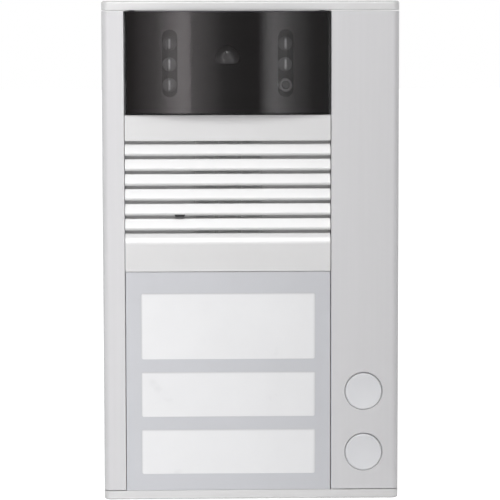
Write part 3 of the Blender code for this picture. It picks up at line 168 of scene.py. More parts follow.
def carve(obj, *cutters):
    """Cut other shapes out of an object and remove them."""
    for cutter in cutters:
        tool = obj.modifiers.new(cutter.name, "BOOLEAN")
        tool.operation = "DIFFERENCE"
        tool.solver = "EXACT"
        tool.object = cutter
    bake_modifiers(obj)
    for cutter in cutters:
        bpy.data.objects.remove(cutter, do_unlink=True)
    return obj


def round_edges(obj, width, segments=3, angle=35.0):
    """Round every edge that is sharper than an angle, and keep the flat faces flat."""
    obj.data.shade_smooth()
    bevel = obj.modifiers.new("rounded_edges", "BEVEL")
    bevel.width = width
    bevel.segments = segments
    bevel.limit_method = "ANGLE"
    bevel.angle_limit = radians(angle)
    bevel.miter_outer = "MITER_ARC"
    bake_modifiers(obj)
    return smooth(obj, 60.0)


def smooth(obj, angle=32.0):
    """Shade a piece smooth up to an angle, with its large faces kept flat."""
    obj.data.shade_smooth()
    obj.data.set_sharp_from_angle(angle=radians(angle))
    even = obj.modifiers.new("even_shading", "WEIGHTED_NORMAL")
    even.keep_sharp = True
    even.weight = 100
    return bake_modifiers(obj)


def fit(obj, body, slot, *nodes, finish=None):
    """Let a piece ride on a body, in its slot's finish or its own, in place of the nodes it stands for."""
    obj.data.materials.clear()
    obj.data.materials.append(finish or FINISHES[slot])
    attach(obj, body)
    if nodes:
        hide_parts(*nodes)
    return obj


def bar(name, low, high):
    """A box between two corners, as a cutter or a start."""
    low, high = Vector(low), Vector(high)
    bm = bmesh.new()
    place = Matrix.Translation((low + high) / 2) @ Matrix.Diagonal((*(high - low), 1.0))
    bmesh.ops.create_cube(bm, size=1.0, matrix=place)
    return shape(name, bm)


def peg(name, start, end, radius, steps=64, flare=0.0):
    """A round bar between two points, wider by the flare at its start, as a cutter or a start."""
    start, end = Vector(start), Vector(end)
    bm = bmesh.new()
    turn = (end - start).to_track_quat("Z", "Y").to_matrix().to_4x4()
    bmesh.ops.create_cone(
        bm,
        cap_ends=True,
        segments=steps,
        radius1=radius + flare,
        radius2=radius,
        depth=(end - start).length,
        matrix=Matrix.Translation((start + end) / 2) @ turn,
    )
    return shape(name, bm)


def pillow(name, low, high, radius, steps=8):
    """A box whose four edges along the depth are rounded."""
    low, high = Vector(low), Vector(high)
    bm = bmesh.new()
    place = Matrix.Translation((low + high) / 2) @ Matrix.Diagonal((*(high - low), 1.0))
    bmesh.ops.create_cube(bm, size=1.0, matrix=place)
    deep = [e for e in bm.edges if abs((e.verts[0].co - e.verts[1].co).normalized().y) > 0.9]
    soften(bm, deep, radius, steps)
    return shape(name, bm)


def welded_copy(name, node):
    """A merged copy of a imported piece, with its flat faces made whole."""
    bm = bmesh.new()
    bm.from_mesh(frame["nodes"][node].data)
    bmesh.ops.remove_doubles(bm, verts=bm.verts, dist=1e-6)
    bmesh.ops.dissolve_limit(bm, angle_limit=radians(0.5), verts=bm.verts, edges=bm.edges)
    return shape(name, bm)


# Finishes


class Finish:
    """A Principled material whose colour, roughness and relief come from procedural grain."""

    def __init__(self, name):
        self.material = bpy.data.materials.new(name)
        self.material.use_nodes = True
        self.nodes = self.material.node_tree.nodes
        self.links = self.material.node_tree.links
        self.shader = self.nodes["Principled BSDF"]

    def set(self, **sockets):
        for name, value in sockets.items():
            self.shader.inputs[name.replace("_", " ")].default_value = value
        return self

    def place(self, stretch=(1, 1, 1)):
        where = self.nodes.new("ShaderNodeTexCoord")
        turn = self.nodes.new("ShaderNodeMapping")
        turn.inputs["Scale"].default_value = stretch
        self.links.new(where.outputs["Object"], turn.inputs["Vector"])
        return turn.outputs["Vector"]

    def noise(self, scale, stretch=(1, 1, 1), detail=3.0):
        grain = self.nodes.new("ShaderNodeTexNoise")
        grain.inputs["Scale"].default_value = scale
        grain.inputs["Detail"].default_value = detail
        self.links.new(self.place(stretch), grain.inputs["Vector"])
        return grain.outputs["Fac"]

    def colours(self, factor, *stops):
        ramp = self.nodes.new("ShaderNodeValToRGB")
        while len(ramp.color_ramp.elements) < len(stops):
            ramp.color_ramp.elements.new(1.0)
        for element, (position, colour) in zip(ramp.color_ramp.elements, stops):
            element.position = position
            element.color = (*colour, 1.0)
        self.links.new(factor, ramp.inputs["Fac"])
        self.links.new(ramp.outputs["Color"], self.shader.inputs["Base Color"])
        return self

    def level(self, factor, socket, low, high, start=0.3, end=0.7):
        scaled = self.nodes.new("ShaderNodeMapRange")
        scaled.inputs["From Min"].default_value = start
        scaled.inputs["From Max"].default_value = end
        scaled.inputs["To Min"].default_value = low
        scaled.inputs["To Max"].default_value = high
        self.links.new(factor, scaled.inputs["Value"])
        self.links.new(scaled.outputs["Result"], self.shader.inputs[socket])
        return self

    def relief(self, factor, strength, distance):
        bump = self.nodes.new("ShaderNodeBump")
        bump.inputs["Strength"].default_value = strength
        bump.inputs["Distance"].default_value = distance
        self.links.new(factor, bump.inputs["Height"])
        self.links.new(bump.outputs["Normal"], self.shader.inputs["Normal"])
        return self


def shades(colour, spread):
    """A darker and a lighter shade of a colour."""
    return tuple(c * (1 - spread) for c in colour), tuple(min(1.0, c * (1 + spread)) for c in colour)


def moulded(name, colour, roughness, spread=0.03, texture=2600.0, relief=0.12, **sockets):
    """Moulded plastic or rubber: faint colour drift and a fine spark-eroded texture."""
    dark, light = shades(colour, spread)
    made = Finish(name).set(**sockets)
    made.colours(made.noise(38.0), (0.3, dark), (0.7, light))
    fine = made.noise(texture)
    made.level(fine, "Roughness", roughness - 0.04, roughness + 0.04)
    made.relief(fine, relief, 0.00004)
    return made.material


def metal(name, colour, roughness, stretch=(1, 1, 1), scale=900.0, spread=0.04, metallic=1.0, relief=0.05):
    """Metal with a drawn or rolled grain."""
    dark, light = shades(colour, spread)
    made = Finish(name).set(Metallic=metallic)
    grain = made.noise(scale, stretch)
    made.colours(grain, (0.3, dark), (0.7, light))
    made.level(grain, "Roughness", roughness - 0.05, roughness + 0.05)
    made.relief(grain, relief, 0.00003)
    return made.material


def smoked_acrylic():
    made = Finish("smoked_acrylic").set(Alpha=0.3, IOR=1.49)
    made.colours(made.noise(30.0), (0.3, (0.0045, 0.0035, 0.0032)), (0.7, (0.006, 0.0048, 0.0046)))
    made.level(made.noise(220.0), "Roughness", 0.012, 0.022)
    return made.material


def clear_plastic(name, alpha, colour, roughness):
    dark, light = shades(colour, 0.02)
    made = Finish(name).set(Alpha=alpha, IOR=1.5)
    made.colours(made.noise(60.0), (0.3, dark), (0.7, light))
    made.level(made.noise(400.0), "Roughness", roughness, roughness + 0.03)
    return made.material


def printed_paper():
    made = Finish("label_paper").set()
    fibres = made.noise(1500.0, (1, 1, 3))
    made.colours(fibres, (0.3, (0.84, 0.84, 0.85)), (0.7, (0.87, 0.87, 0.88)))
    made.level(fibres, "Roughness", 0.6, 0.75)
    made.relief(fibres, 0.06, 0.00003)
    return made.material


def woven_cloth():
    made = Finish("sound_cloth").set()
    weave = made.nodes.new("ShaderNodeMath")
    weave.operation = "MAXIMUM"
    for index, direction in enumerate(("X", "Z")):
        thread = made.nodes.new("ShaderNodeTexWave")
        thread.bands_direction = direction
        thread.inputs["Scale"].default_value = 520.0
        made.links.new(made.place(), thread.inputs["Vector"])
        made.links.new(thread.outputs["Fac"], weave.inputs[index])
    made.colours(weave.outputs["Value"], (0.2, (0.52, 0.52, 0.52)), (0.9, (0.62, 0.62, 0.62)))
    made.level(weave.outputs["Value"], "Roughness", 0.8, 0.95)
    made.relief(weave.outputs["Value"], 0.5, 0.0001)
    return made.material


def circuit_board():
    made = Finish("circuit_board").set()
    tracks = made.nodes.new("ShaderNodeTexBrick")
    tracks.inputs["Scale"].default_value = 210.0
    tracks.inputs["Mortar Size"].default_value = 0.012
    tracks.inputs["Color1"].default_value = (0.006, 0.008, 0.007, 1.0)
    tracks.inputs["Color2"].default_value = (0.008, 0.010, 0.009, 1.0)
    tracks.inputs["Mortar"].default_value = (0.022, 0.026, 0.024, 1.0)
    turned = made.nodes.new("ShaderNodeMapping")
    turned.inputs["Rotation"].default_value = (pi / 2, 0, 0)
    made.links.new(made.place(), turned.inputs["Vector"])
    made.links.new(turned.outputs["Vector"], tracks.inputs["Vector"])
    made.links.new(tracks.outputs["Color"], made.shader.inputs["Base Color"])
    made.level(made.noise(700.0), "Roughness", 0.3, 0.42)
    made.relief(tracks.outputs["Fac"], 0.3, 0.00005)
    return made.material


def glossy_print():
    made = Finish("window_print")
    made.colours(made.noise(40.0), (0.3, (0.003, 0.0026, 0.0026)), (0.7, (0.004, 0.0034, 0.0034)))
    made.level(made.noise(200.0), "Roughness", 0.012, 0.022)
    return made.material


def camera_lens_glass():
    made = Finish("camera_lens_glass").set(IOR=1.6)
    made.colours(made.noise(300.0), (0.3, (0.155, 0.15, 0.153)), (0.7, (0.185, 0.18, 0.183)))
    made.level(made.noise(500.0), "Roughness", 0.03, 0.06)
    return made.material


def opal_pane_with_painted_edge_shade(name, low, high):
    """Opal plastic with painted shade: greyer towards the head and the two ends, where the plate's edges
    would shade it.
    """
    made = Finish(name).set(Alpha=0.85, IOR=1.5)
    split = made.nodes.new("ShaderNodeSeparateXYZ")
    made.links.new(made.place(), split.inputs["Vector"])
    tone_and_edge_shade = made.noise(60.0)
    # Painted shade: the tone falls off near the head and the two ends of the field, down to the darkest
    # colour stop.
    for axis, edge, reach in (("X", low.x, 0.0024), ("X", high.x, -0.0034), ("Z", high.z, -0.0028)):
        edge_shade_fade = made.nodes.new("ShaderNodeMapRange")
        edge_shade_fade.interpolation_type = "SMOOTHSTEP"
        edge_shade_fade.inputs["From Min"].default_value = edge - reach / 4
        edge_shade_fade.inputs["From Max"].default_value = edge + reach
        made.links.new(split.outputs[axis], edge_shade_fade.inputs["Value"])
        least = made.nodes.new("ShaderNodeMath")
        least.operation = "MINIMUM"
        made.links.new(tone_and_edge_shade, least.inputs[0])
        made.links.new(edge_shade_fade.outputs["Result"], least.inputs[1])
        tone_and_edge_shade = least.outputs["Value"]
    made.colours(tone_and_edge_shade, (0.0, (0.60, 0.60, 0.615)), (0.35, (0.85, 0.85, 0.862)), (0.7, (0.87, 0.87, 0.882)))
    made.level(made.noise(400.0), "Roughness", 0.3, 0.36)
    return made.material


def sensor_cell(centre):
    """Pale round bezel about a darker cell."""
    made = Finish("sensor_cell").set(Roughness=0.3)
    shift = made.nodes.new("ShaderNodeVectorMath")
    shift.operation = "DISTANCE"
    shift.inputs[1].default_value = (centre.x, 0, centre.z)
    made.links.new(made.place((1, 0, 1)), shift.inputs[0])
    share = made.nodes.new("ShaderNodeMath")
    share.operation = "DIVIDE"
    share.inputs[1].default_value = 0.003
    made.links.new(shift.outputs["Value"], share.inputs[0])
    made.colours(
        share.outputs["Value"],
        (0.0, (0.15, 0.15, 0.15)),
        (0.40, (0.13, 0.13, 0.13)),
        (0.52, (0.05, 0.05, 0.05)),
        (0.62, (0.30, 0.30, 0.30)),
        (0.9, (0.26, 0.26, 0.26)),
    )
    made.relief(made.noise(1500.0), 0.1, 0.00003)
    return made.material


def grille_lacquer_painted_slot_shade():
    """Silver lacquer with painted shade: deep in the slots its colour gives way to a flat grey that stands in
    for their shade.
    """
    made = Finish("grille_lacquer_painted_slot_shade").set(Metallic=0.29, Roughness=0.44)
    dark, light = shades((0.562, 0.560, 0.562), 0.012)
    made.colours(made.noise(38.0), (0.3, dark), (0.7, light))
    lacquer = made.shader.inputs["Base Color"].links[0].from_socket
    split = made.nodes.new("ShaderNodeSeparateXYZ")
    made.links.new(made.place(), split.inputs["Vector"])
    # Painted shade: from 2.2 to 3.1 mm behind the face the colour turns to grey, for the shade inside the
    # slots.
    depth = made.nodes.new("ShaderNodeMapRange")
    depth.inputs["From Min"].default_value = FRONT + 0.0022
    depth.inputs["From Max"].default_value = FRONT + 0.0031
    made.links.new(split.outputs["Y"], depth.inputs["Value"])
    slot_shade_mix = made.nodes.new("ShaderNodeMix")
    slot_shade_mix.data_type = "RGBA"
    slot_shade_mix.inputs["B"].default_value = (0.36, 0.36, 0.36, 1.0)
    made.links.new(depth.outputs["Result"], slot_shade_mix.inputs["Factor"])
    made.links.new(lacquer, slot_shade_mix.inputs["A"])
    made.links.new(slot_shade_mix.outputs["Result"], made.shader.inputs["Base Color"])
    made.relief(made.noise(2600.0), 0.12, 0.00004)
    return made.material


FINISHES = {
    "anodised_profile": metal(
        "satin_aluminium", (0.556, 0.552, 0.563), 0.42, (1, 1, 0.02), 700.0, 0.012, 0.14, 0.02
    ),
    "silver_plastic": moulded("silver_lacquer", (0.575, 0.573, 0.575), 0.45, 0.012, Metallic=0.20),
    "button_cap": moulded("button_lacquer", (0.668, 0.67, 0.69), 0.4, 0.012),
    "name_frame_grey": moulded("name_plate_grey", (0.522, 0.527, 0.553), 0.4, 0.015),
    "smoked_window": smoked_acrylic(),
    "black_moulding": moulded("black_moulding", (0.035, 0.034, 0.034), 0.6, 0.06, 2600.0, 0.04),
    "dark_grey_moulding": moulded("dark_grey_moulding", (0.085, 0.086, 0.09), 0.55, 0.06),
    "white_moulding": moulded("white_moulding", (0.78, 0.78, 0.77), 0.45, 0.02),
    "clear_pane": clear_plastic("clear_pane", 0.2, (0.86, 0.86, 0.87), 0.3),
    "lamp_resin": clear_plastic("lamp_resin", 0.35, (0.55, 0.55, 0.56), 0.05),
    "camera_glass": camera_lens_glass(),
    "label_card": printed_paper(),
    "rubber": moulded("black_rubber", (0.02, 0.02, 0.021), 0.7, 0.12, 1400.0, 0.25),
    "foam": moulded("black_foam", (0.03, 0.03, 0.03), 0.9, 0.2, 900.0, 0.8),
    "sound_cloth": woven_cloth(),
    "steel": metal("bright_steel", (0.58, 0.58, 0.58), 0.28),
    "speaker_metal": metal("plated_steel", (0.46, 0.47, 0.48), 0.35),
    "speaker_paper": moulded("pressed_paper", (0.05, 0.05, 0.05), 0.85, 0.2, 1200.0, 0.4),
    "circuit_board": circuit_board(),
    "terminal_green": moulded("terminal_plastic", (0.05, 0.22, 0.08), 0.45, 0.06),
    "lead_sheath": moulded("lead_sheath", (0.32, 0.03, 0.03), 0.45, 0.08),
}

LEAD_FRAME = metal("lamp_lead_frame", (0.94, 0.94, 0.94), 0.35, metallic=0.05)

for entry in frame["record"]["subparts"]:
    surface = frame["nodes"][entry["node"]].data.materials
    surface.clear()
    surface.append(FINISHES[entry["material_slot"]])


# Case


def front_profile():
    """The extrusion's full section, drawn at its foot and pulled up to its head."""
    front_in = FRONT + WALL
    foot = profile_low.z
    bm = bmesh.new()

    def at(x, y):
        return Vector((x, y, foot))

    first = bm.verts.new(at(-HALF_WIDTH, BACK))
    pen = run(bm, first, at(-HALF_WIDTH, FRONT + EDGE_RADIUS))
    pen = sweep(bm, pen, at(EDGE_RADIUS - HALF_WIDTH, FRONT + EDGE_RADIUS), UP, pi / 2, 12)
    pen = run(bm, pen, at(RECESS_LEFT - LIP, FRONT))
    pen = sweep(bm, pen, at(RECESS_LEFT - LIP, FRONT + LIP), UP, pi / 2, 4)
    pen = run(bm, pen, at(RECESS_LEFT, FLOOR_FRONT), at(RECESS_RIGHT, FLOOR_FRONT))
    pen = run(bm, pen, at(RECESS_RIGHT, FRONT + LIP))
    pen = sweep(bm, pen, at(RECESS_RIGHT + LIP, FRONT + LIP), UP, pi / 2, 4)
    pen = run(bm, pen, at(HALF_WIDTH - EDGE_RADIUS, FRONT))
    pen = sweep(bm, pen, at(HALF_WIDTH - EDGE_RADIUS, FRONT + EDGE_RADIUS), UP, pi / 2, 12)
    pen = run(
        bm,
        pen,
        at(HALF_WIDTH, BACK),
        at(HALF_WIDTH - WALL, BACK),
        at(HALF_WIDTH - WALL, front_in),
        at(RECESS_RIGHT + WALL, front_in),
        at(RECESS_RIGHT + WALL, FLOOR_BACK),
        at(RECESS_LEFT - WALL, FLOOR_BACK),
        at(RECESS_LEFT - WALL, front_in),
        at(WALL - HALF_WIDTH, front_in),
        at(WALL - HALF_WIDTH, BACK),
    )
    thicken(bm, close(bm, first, pen), UP * (profile_high.z - foot))
    profile = shape("front_profile_extrusion", bm)
    lamp_low, lamp_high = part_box("lamp_board")
    light_low, light_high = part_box("backlight_board")
    cone_low, cone_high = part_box("speaker_cone")
    margin = Vector((0.0008, 0.004, 0.0008))
    inset = Vector((0.0025, 0, 0.0015))
    deep = BACKWARD * 0.004
    speaker_hole = 0.019
    button_hole = 0.0077
    chamfer = 0.0005
    cone = (cone_low + cone_high) / 2
    cone_front = (cone.x, FLOOR_FRONT - WALL, cone.z)
    cone_back = (cone.x, FLOOR_BACK + WALL, cone.z)
    cutters = [
        bar("lamp_opening", lamp_low - margin, lamp_high + margin),
        bar("light_opening", light_low + inset - deep, light_high - inset + deep),
        peg("speaker_opening", cone_front, cone_back, speaker_hole),
    ]
    for button in (1, 2):
        low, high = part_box(f"call_button_{button}")
        middle = (low + high) / 2
        start = (middle.x, FRONT - WALL, middle.z)
        end = (middle.x, FRONT + 2 * WALL, middle.z)
        cutters.append(peg(f"button_opening_{button}", start, end, button_hole, 96))
        mouth = Vector((middle.x, FRONT, middle.z))
        start = mouth - BACKWARD * 0.0001
        end = mouth + BACKWARD * 0.0003
        cutters.append(peg(f"button_mouth_{button}", start, end, button_hole, 96, chamfer))
    carve(profile, *cutters)
    round_edges(profile, 0.00012, 2, 30)
    fit(profile, "housing", "anodised_profile", "front_profile")


def end_cap(node, side):
    """A cap with a rounded outer rim and sunk screw seats."""
    thickness = 0.0038
    seat_depth = 0.0017
    seat_radius = 0.0027
    outer = side * cad_high.z
    face = outer - side * thickness
    bm = bmesh.new()

    def at(x, y):
        return Vector((x, y, face))

    first = bm.verts.new(at(-HALF_WIDTH, BACK))
    pen = run(bm, first, at(-HALF_WIDTH, FRONT + EDGE_RADIUS))
    pen = sweep(bm, pen, at(EDGE_RADIUS - HALF_WIDTH, FRONT + EDGE_RADIUS), UP, pi / 2, 12)
    pen = run(bm, pen, at(HALF_WIDTH - EDGE_RADIUS, FRONT))
    pen = sweep(bm, pen, at(HALF_WIDTH - EDGE_RADIUS, FRONT + EDGE_RADIUS), UP, pi / 2, 12)
    pen = run(bm, pen, at(HALF_WIDTH, BACK))
    thicken(bm, close(bm, first, pen), UP * (outer - face))
    settle(bm)
    rim = [e for e in bm.edges if all(abs(v.co.z - outer) < 1e-7 for v in e.verts)]
    soften(bm, rim, 0.0010, 5)
    seam = [e for e in bm.edges if all(abs(v.co.z - face) < 1e-7 for v in e.verts)]
    soften(bm, seam, 0.00025, 2)
    cap = shape(f"{node}_cover", bm)
    cutters = []
    screws = [f"end_cap_screw_{n}" for n in ((1, 2) if side > 0 else (3, 4))]
    if side < 0:
        screws.append("locking_screw")
    for screw in screws:
        place = sum(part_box(screw), Vector()) / 2
        start = (place.x, place.y, outer - side * seat_depth)
        end = (place.x, place.y, outer + side * WALL)
        cutters.append(peg(f"{screw}_sink", start, end, seat_radius, 48))
    carve(cap, *cutters)
    smooth(cap)
    fit(cap, "housing", "silver_plastic", node)


def cap_screw(node, side):
    """A pan-head screw with a cross recess."""
    low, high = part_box(node)
    place = (low + high) / 2
    head = side * cad_high.z

    def at(radius, depth):
        return Vector((place.x + radius, place.y, head - side * depth))

    bm = bmesh.new()
    first = bm.verts.new(at(0.0, 0.0))
    pen = run(bm, first, at(0.0017, 0.0001), at(0.0022, 0.0004), at(0.0024, 0.0009), at(0.0024, 0.0014))
    pen = run(bm, pen, at(0.0012, 0.0014), at(0.0012, 0.0122), at(0.0, 0.0134))
    revolve(bm, place, UP, 40)
    screw = shape(f"{node}_turned", bm)
    arms = []
    long, short = 0.0013, 0.0003
    foot, top = sorted((head - side * 0.0009, head + side * 0.0005))
    for index, (wide, thick) in enumerate(((long, short), (short, long)), 1):
        low = (place.x - wide, place.y - thick, foot)
        high = (place.x + wide, place.y + thick, top)
        arms.append(bar(f"{node}_recess_{index}", low, high))
    carve(screw, *arms)
    smooth(screw)
    fit(screw, "housing", "steel", node)


# Camera module


def bowed_sheet(name, inset, depth, wall):
    """A sheet bowed about an upright axis, set in from the window's edges and back from its face."""
    half = (window_high.x - window_low.x) / 2
    crown = 0.0040
    bow = (half ** 2 + crown ** 2) / (2 * crown)
    centre = Vector((MODULE_X, window_low.y + bow, window_low.z + CLOSE_UP + inset))
    bow -= depth
    turn = asin((half - inset) / bow)
    bm = bmesh.new()
    start = bm.verts.new(centre + Matrix.Rotation(-turn, 3, "Z") @ (BACKWARD * -bow))
    sweep(bm, start, centre, UP, 2 * turn, 96)
    made = bmesh.ops.extrude_edge_only(bm, edges=bm.edges[:])
    raised = [item for item in made["geom"] if isinstance(item, bmesh.types.BMVert)]
    bmesh.ops.translate(bm, verts=raised, vec=UP * (window_high.z - window_low.z - 2 * inset))
    if not inset:
        made = bmesh.ops.extrude_edge_only(bm, edges=[e for e in bm.edges if e.is_boundary])
        for item in made["geom"]:
            if isinstance(item, bmesh.types.BMVert):
                item.co.y = window_high.y
    sheet = shape(name, bm)
    skin = sheet.modifiers.new("wall", "SOLIDIFY")
    skin.thickness = wall
    skin.offset = -1.0
    skin.use_even_offset = True
    return bake_modifiers(sheet)


def camera_window():
    """Smoked cover, and the black print behind it that leaves the lamps and the camera clear."""
    cover = bowed_sheet("camera_window_cover", 0.0, 0.0, 0.0005)
    round_edges(cover, 0.0003, 3, 40)
    fit(cover, "housing", "smoked_window", "camera_window")
    mask = bowed_sheet("camera_window_print", 0.0007, 0.0007, 0.0002)
    front = window_low.y - WALL
    back = window_high.y
    column = 0.02365
    half = 0.0031
    cutters = []
    for index, side in enumerate((-1, 1), 1):
        middle = MODULE_X + side * column
        low = (middle - half, front, WINDOW_Z - 0.0136)
        high = (middle + half, back, WINDOW_Z + 0.0138)
        cutters.append(pillow(f"lamp_clear_{index}", low, high, 0.0029))
    x = MODULE_X - 0.0002
    crown = WINDOW_Z + 0.0043
    cutters.append(peg("camera_clear_top", (x, front, crown), (x, back, crown), 0.0031))
    wide = 0.00495
    low = (x - wide, front, WINDOW_Z - 0.0001)
    high = (x + wide, back, WINDOW_Z + 0.0056)
    cutters.append(pillow("camera_clear_foot", low, high, 0.0026))
    carve(mask, *cutters)
    smooth(mask)
    fit(mask, "housing", "smoked_window", finish=glossy_print())


def lamp(node):
    """A clear round-nosed lamp with its flange, and the two bent metal strips inside it."""
    low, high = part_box(node)
    place = (low + high) / 2
    place.y = high.y
    tip = high.y - low.y
    radius = 0.0025

    def at(out, rise):
        return place + Vector((out, -rise, 0))

    bm = bmesh.new()
    pen = bm.verts.new(at(0.0, tip))
    pen = sweep(bm, pen, at(0.0, tip - radius), UP, pi / 2, 12)
    pen = run(bm, pen, at(radius, 0.001), at(0.0029, 0.001), at(0.0029, 0.0), at(0.0, 0.0))
    revolve(bm, place, BACKWARD, 40)
    resin = smooth(shape(f"{node}_resin", bm))
    fit(resin, "housing", "lamp_resin", node)
    heart = at(0, tip - radius)
    reach = Matrix.Translation((0, -0.0023, 0))
    section = Matrix.Diagonal((0.0008, 0.0002, 1, 1))
    bm = bmesh.new()
    for start, turn in ((-58.0, 46.0), (-6.0, 62.0)):
        face = Matrix.Translation(heart) @ Matrix.Rotation(radians(start), 4, "X") @ reach
        made = bmesh.ops.create_grid(bm, x_segments=1, y_segments=1, size=0.5, matrix=face @ section)
        strip = [f for f in bm.faces if all(v in made["verts"] for v in f.verts)]
        bmesh.ops.spin(bm, geom=strip, cent=heart, axis=ACROSS, angle=radians(turn), steps=10)
    fit(smooth(shape(f"{node}_posts", bm)), "housing", "steel", finish=LEAD_FRAME)


def light_sensor():
    """A round bezel over a six-sided cell."""
    low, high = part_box("light_sensor")
    place = (low + high) / 2
    place.y = high.y
    tip = high.y - low.y

    def at(out, rise):
        return place + Vector((out, -rise, 0))

    bm = bmesh.new()
    first = bm.verts.new(at(0.0, 0.0))
    pen = run(bm, first, at(0.0027, 0.0), at(0.0027, tip - 0.0003), at(0.0024, tip), at(0.0020, tip))
    run(bm, pen, at(0.0018, tip - 0.0007), at(0.0, tip - 0.0007))
    revolve(bm, place, BACKWARD, 48)
    cell = Matrix.Translation(at(0, tip - 0.0005)) @ Matrix.Rotation(pi / 2, 4, "X")
    bmesh.ops.create_cone(
        bm, cap_ends=True, segments=6, radius1=0.0016, radius2=0.0012, depth=0.0005, matrix=cell
    )
    sensor = smooth(shape("light_sensor_cell", bm))
    fit(sensor, "housing", "lamp_resin", "light_sensor", finish=sensor_cell(place))


def camera_eye():
    """Ball, ribbed barrel and front glass of the camera, which tilt together."""
    low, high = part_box("camera_eyeball")
    centre = (low + high) / 2

    def at(out, rise):
        return centre + Vector((out, -rise, 0))

    ball, cut, bore = 0.0083, 0.0052, 0.0059
    bm = bmesh.new()
    widest = asin(cut / ball)
    first = bm.verts.new(at(bore, cut))
    pen = run(bm, first, at(ball * cos(widest), cut))
    pen = sweep(bm, pen, centre, UP, 2 * widest, 24)
    pen = run(bm, pen, at(bore, -cut))
    bm.edges.new((pen, first))
    revolve(bm, centre, BACKWARD, 72)
    pin = 0.0012
    for side in (-1, 1):
        place = Matrix.Translation(centre + ACROSS * side * 0.00915) @ Matrix.Rotation(pi / 2, 4, "Y")
        bmesh.ops.create_cone(
            bm, cap_ends=True, segments=24, radius1=pin, radius2=pin, depth=0.0031, matrix=place
        )
    fit(smooth(shape("camera_ball", bm)), "camera_tilt", "black_moulding", "camera_eyeball")

    bm = bmesh.new()
    front = 0.0082
    first = bm.verts.new(at(0.0050, front - 0.0004))
    pen = run(bm, first, at(0.0051, front), at(0.0053, front), at(0.0056, front - 0.0003))
    pen = run(bm, pen, at(0.0056, front - 0.0008), at(0.0054, front - 0.0010), at(0.0056, front - 0.0012))
    pen = run(bm, pen, at(0.0056, -cut), at(0.0025, -cut))
    pen = run(bm, pen, at(0.0025, front - 0.0033), at(0.0050, front - 0.0033))
    bm.edges.new((pen, first))
    revolve(bm, centre, BACKWARD, 72)
    fit(smooth(shape("camera_lens_barrel", bm)), "camera_tilt", "black_moulding", "camera_barrel")

    bm = bmesh.new()
    dome = 0.0011
    radius = 0.0055
    bow = (radius ** 2 + dome ** 2) / (2 * dome)
    pen = bm.verts.new(at(0.0, front + dome))
    pen = sweep(bm, pen, at(0.0, front + dome - bow), UP, asin(radius / bow), 14)
    run(bm, pen, at(radius, front - 0.003), at(0.0, front - 0.003))
    revolve(bm, centre, BACKWARD, 64)
    fit(smooth(shape("camera_front_glass", bm)), "camera_tilt", "camera_glass", "camera_glass")


# Speaker module


def speaker_grille():
    """Louvred face drawn in section and pulled across, with its hollow, sound bays and microphone notch."""
    top_band = 0.01025
    pitch = 0.00613
    gap = 0.0013
    groove = 0.0040
    setback = 0.0020
    louvres = 7
    head = grille_high.z
    foot = grille_low.z - 0.00015
    left = grille_low.x - 0.00035
    right = grille_high.x + 0.00025
    bm = bmesh.new()

    def at(depth, z):
        return Vector((left, FRONT + depth, z))

    first = bm.verts.new(at(grille_high.y - FRONT, head + CLOSE_UP))
    pen = run(bm, first, at(0, head + CLOSE_UP), at(0, head - top_band + 0.0003))
    pen = sweep(bm, pen, at(0.0003, head - top_band + 0.0003), ACROSS, pi / 2, 3)
    for louvre in range(louvres):
        top = head - top_band - louvre * pitch
        last = louvre == louvres - 1
        nose = 0.0060 if last else 0.0010
        drop = pitch - gap if last else pitch - gap - nose
        slope = asin(nose / hypot(setback - nose, drop)) + atan2(setback - nose, drop)
        centre = at(nose, top - gap - drop)
        touch = centre + Matrix.Rotation(-slope, 3, "X") @ (BACKWARD * -nose)
        pen = run(bm, pen, at(groove, top), at(groove, top - gap), at(setback, top - gap), touch)
        pen = sweep(bm, pen, centre, ACROSS, slope if last else slope + pi / 2, 12)
    pen = run(bm, pen, at(0, foot), at(grille_high.y - FRONT, foot))
    thicken(bm, close(bm, first, pen), ACROSS * (right - left))
    grille = shape("speaker_grille_face", bm)
    mesh_low, mesh_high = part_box("sound_mesh")
    lap = Vector((0.001, 0, 0.001))
    skirt = Vector((0.0018, 0, 0.0018))
    panel = FRONT + 0.0046
    hollow_low = grille_low + skirt
    hollow_high = grille_high - skirt
    hollow_low.y = panel
    hollow_high.y = grille_high.y + WALL
    cutters = [bar("grille_hollow", hollow_low, hollow_high)]
    bay_low = mesh_low + lap
    bay_high = mesh_high - lap
    rib = 0.0014
    bay = (bay_high.x - bay_low.x - 2 * rib) / 3
    for index in range(3):
        start = bay_low.x + index * (bay + rib)
        low = (start, FRONT + groove - 0.0005, bay_low.z)
        high = (start + bay, panel + WALL, bay_high.z)
        cutters.append(bar(f"sound_bay_{index}", low, high))
    boot_low, boot_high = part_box("microphone_boot")
    mouth = (boot_low + boot_high) / 2
    slot = grille_high.z - top_band - (louvres - 2) * pitch
    bm = bmesh.new()
    tall = 0.00045

    def notch(x, z):
        return Vector((mouth.x + x, FRONT - WALL, slot + z))

    wide, narrow, dip = 0.0023, 0.00185, -0.0006
    first = bm.verts.new(notch(-wide, tall))
    pen = run(bm, first, notch(wide, tall), notch(narrow, dip), notch(-narrow, dip))
    thicken(bm, close(bm, first, pen), BACKWARD * (panel + WALL - FRONT + WALL))
    plug = bm.copy()
    cutters.append(shape("microphone_notch", bm))
    carve(grille, *cutters)
    round_edges(grille, 0.00015, 3, 50)
    fit(grille, "housing", "silver_plastic", "speaker_grille", finish=grille_lacquer_painted_slot_shade())
    bmesh.ops.translate(plug, verts=plug.verts, vec=BACKWARD * 0.0026)
    bmesh.ops.scale(
        plug, verts=plug.verts, vec=(0.96, 1, 0.96), space=Matrix.Translation((-mouth.x, 0, -slot - tall / 2))
    )
    fit(shape("microphone_boot_nose", plug), "housing", "rubber")


# Name field


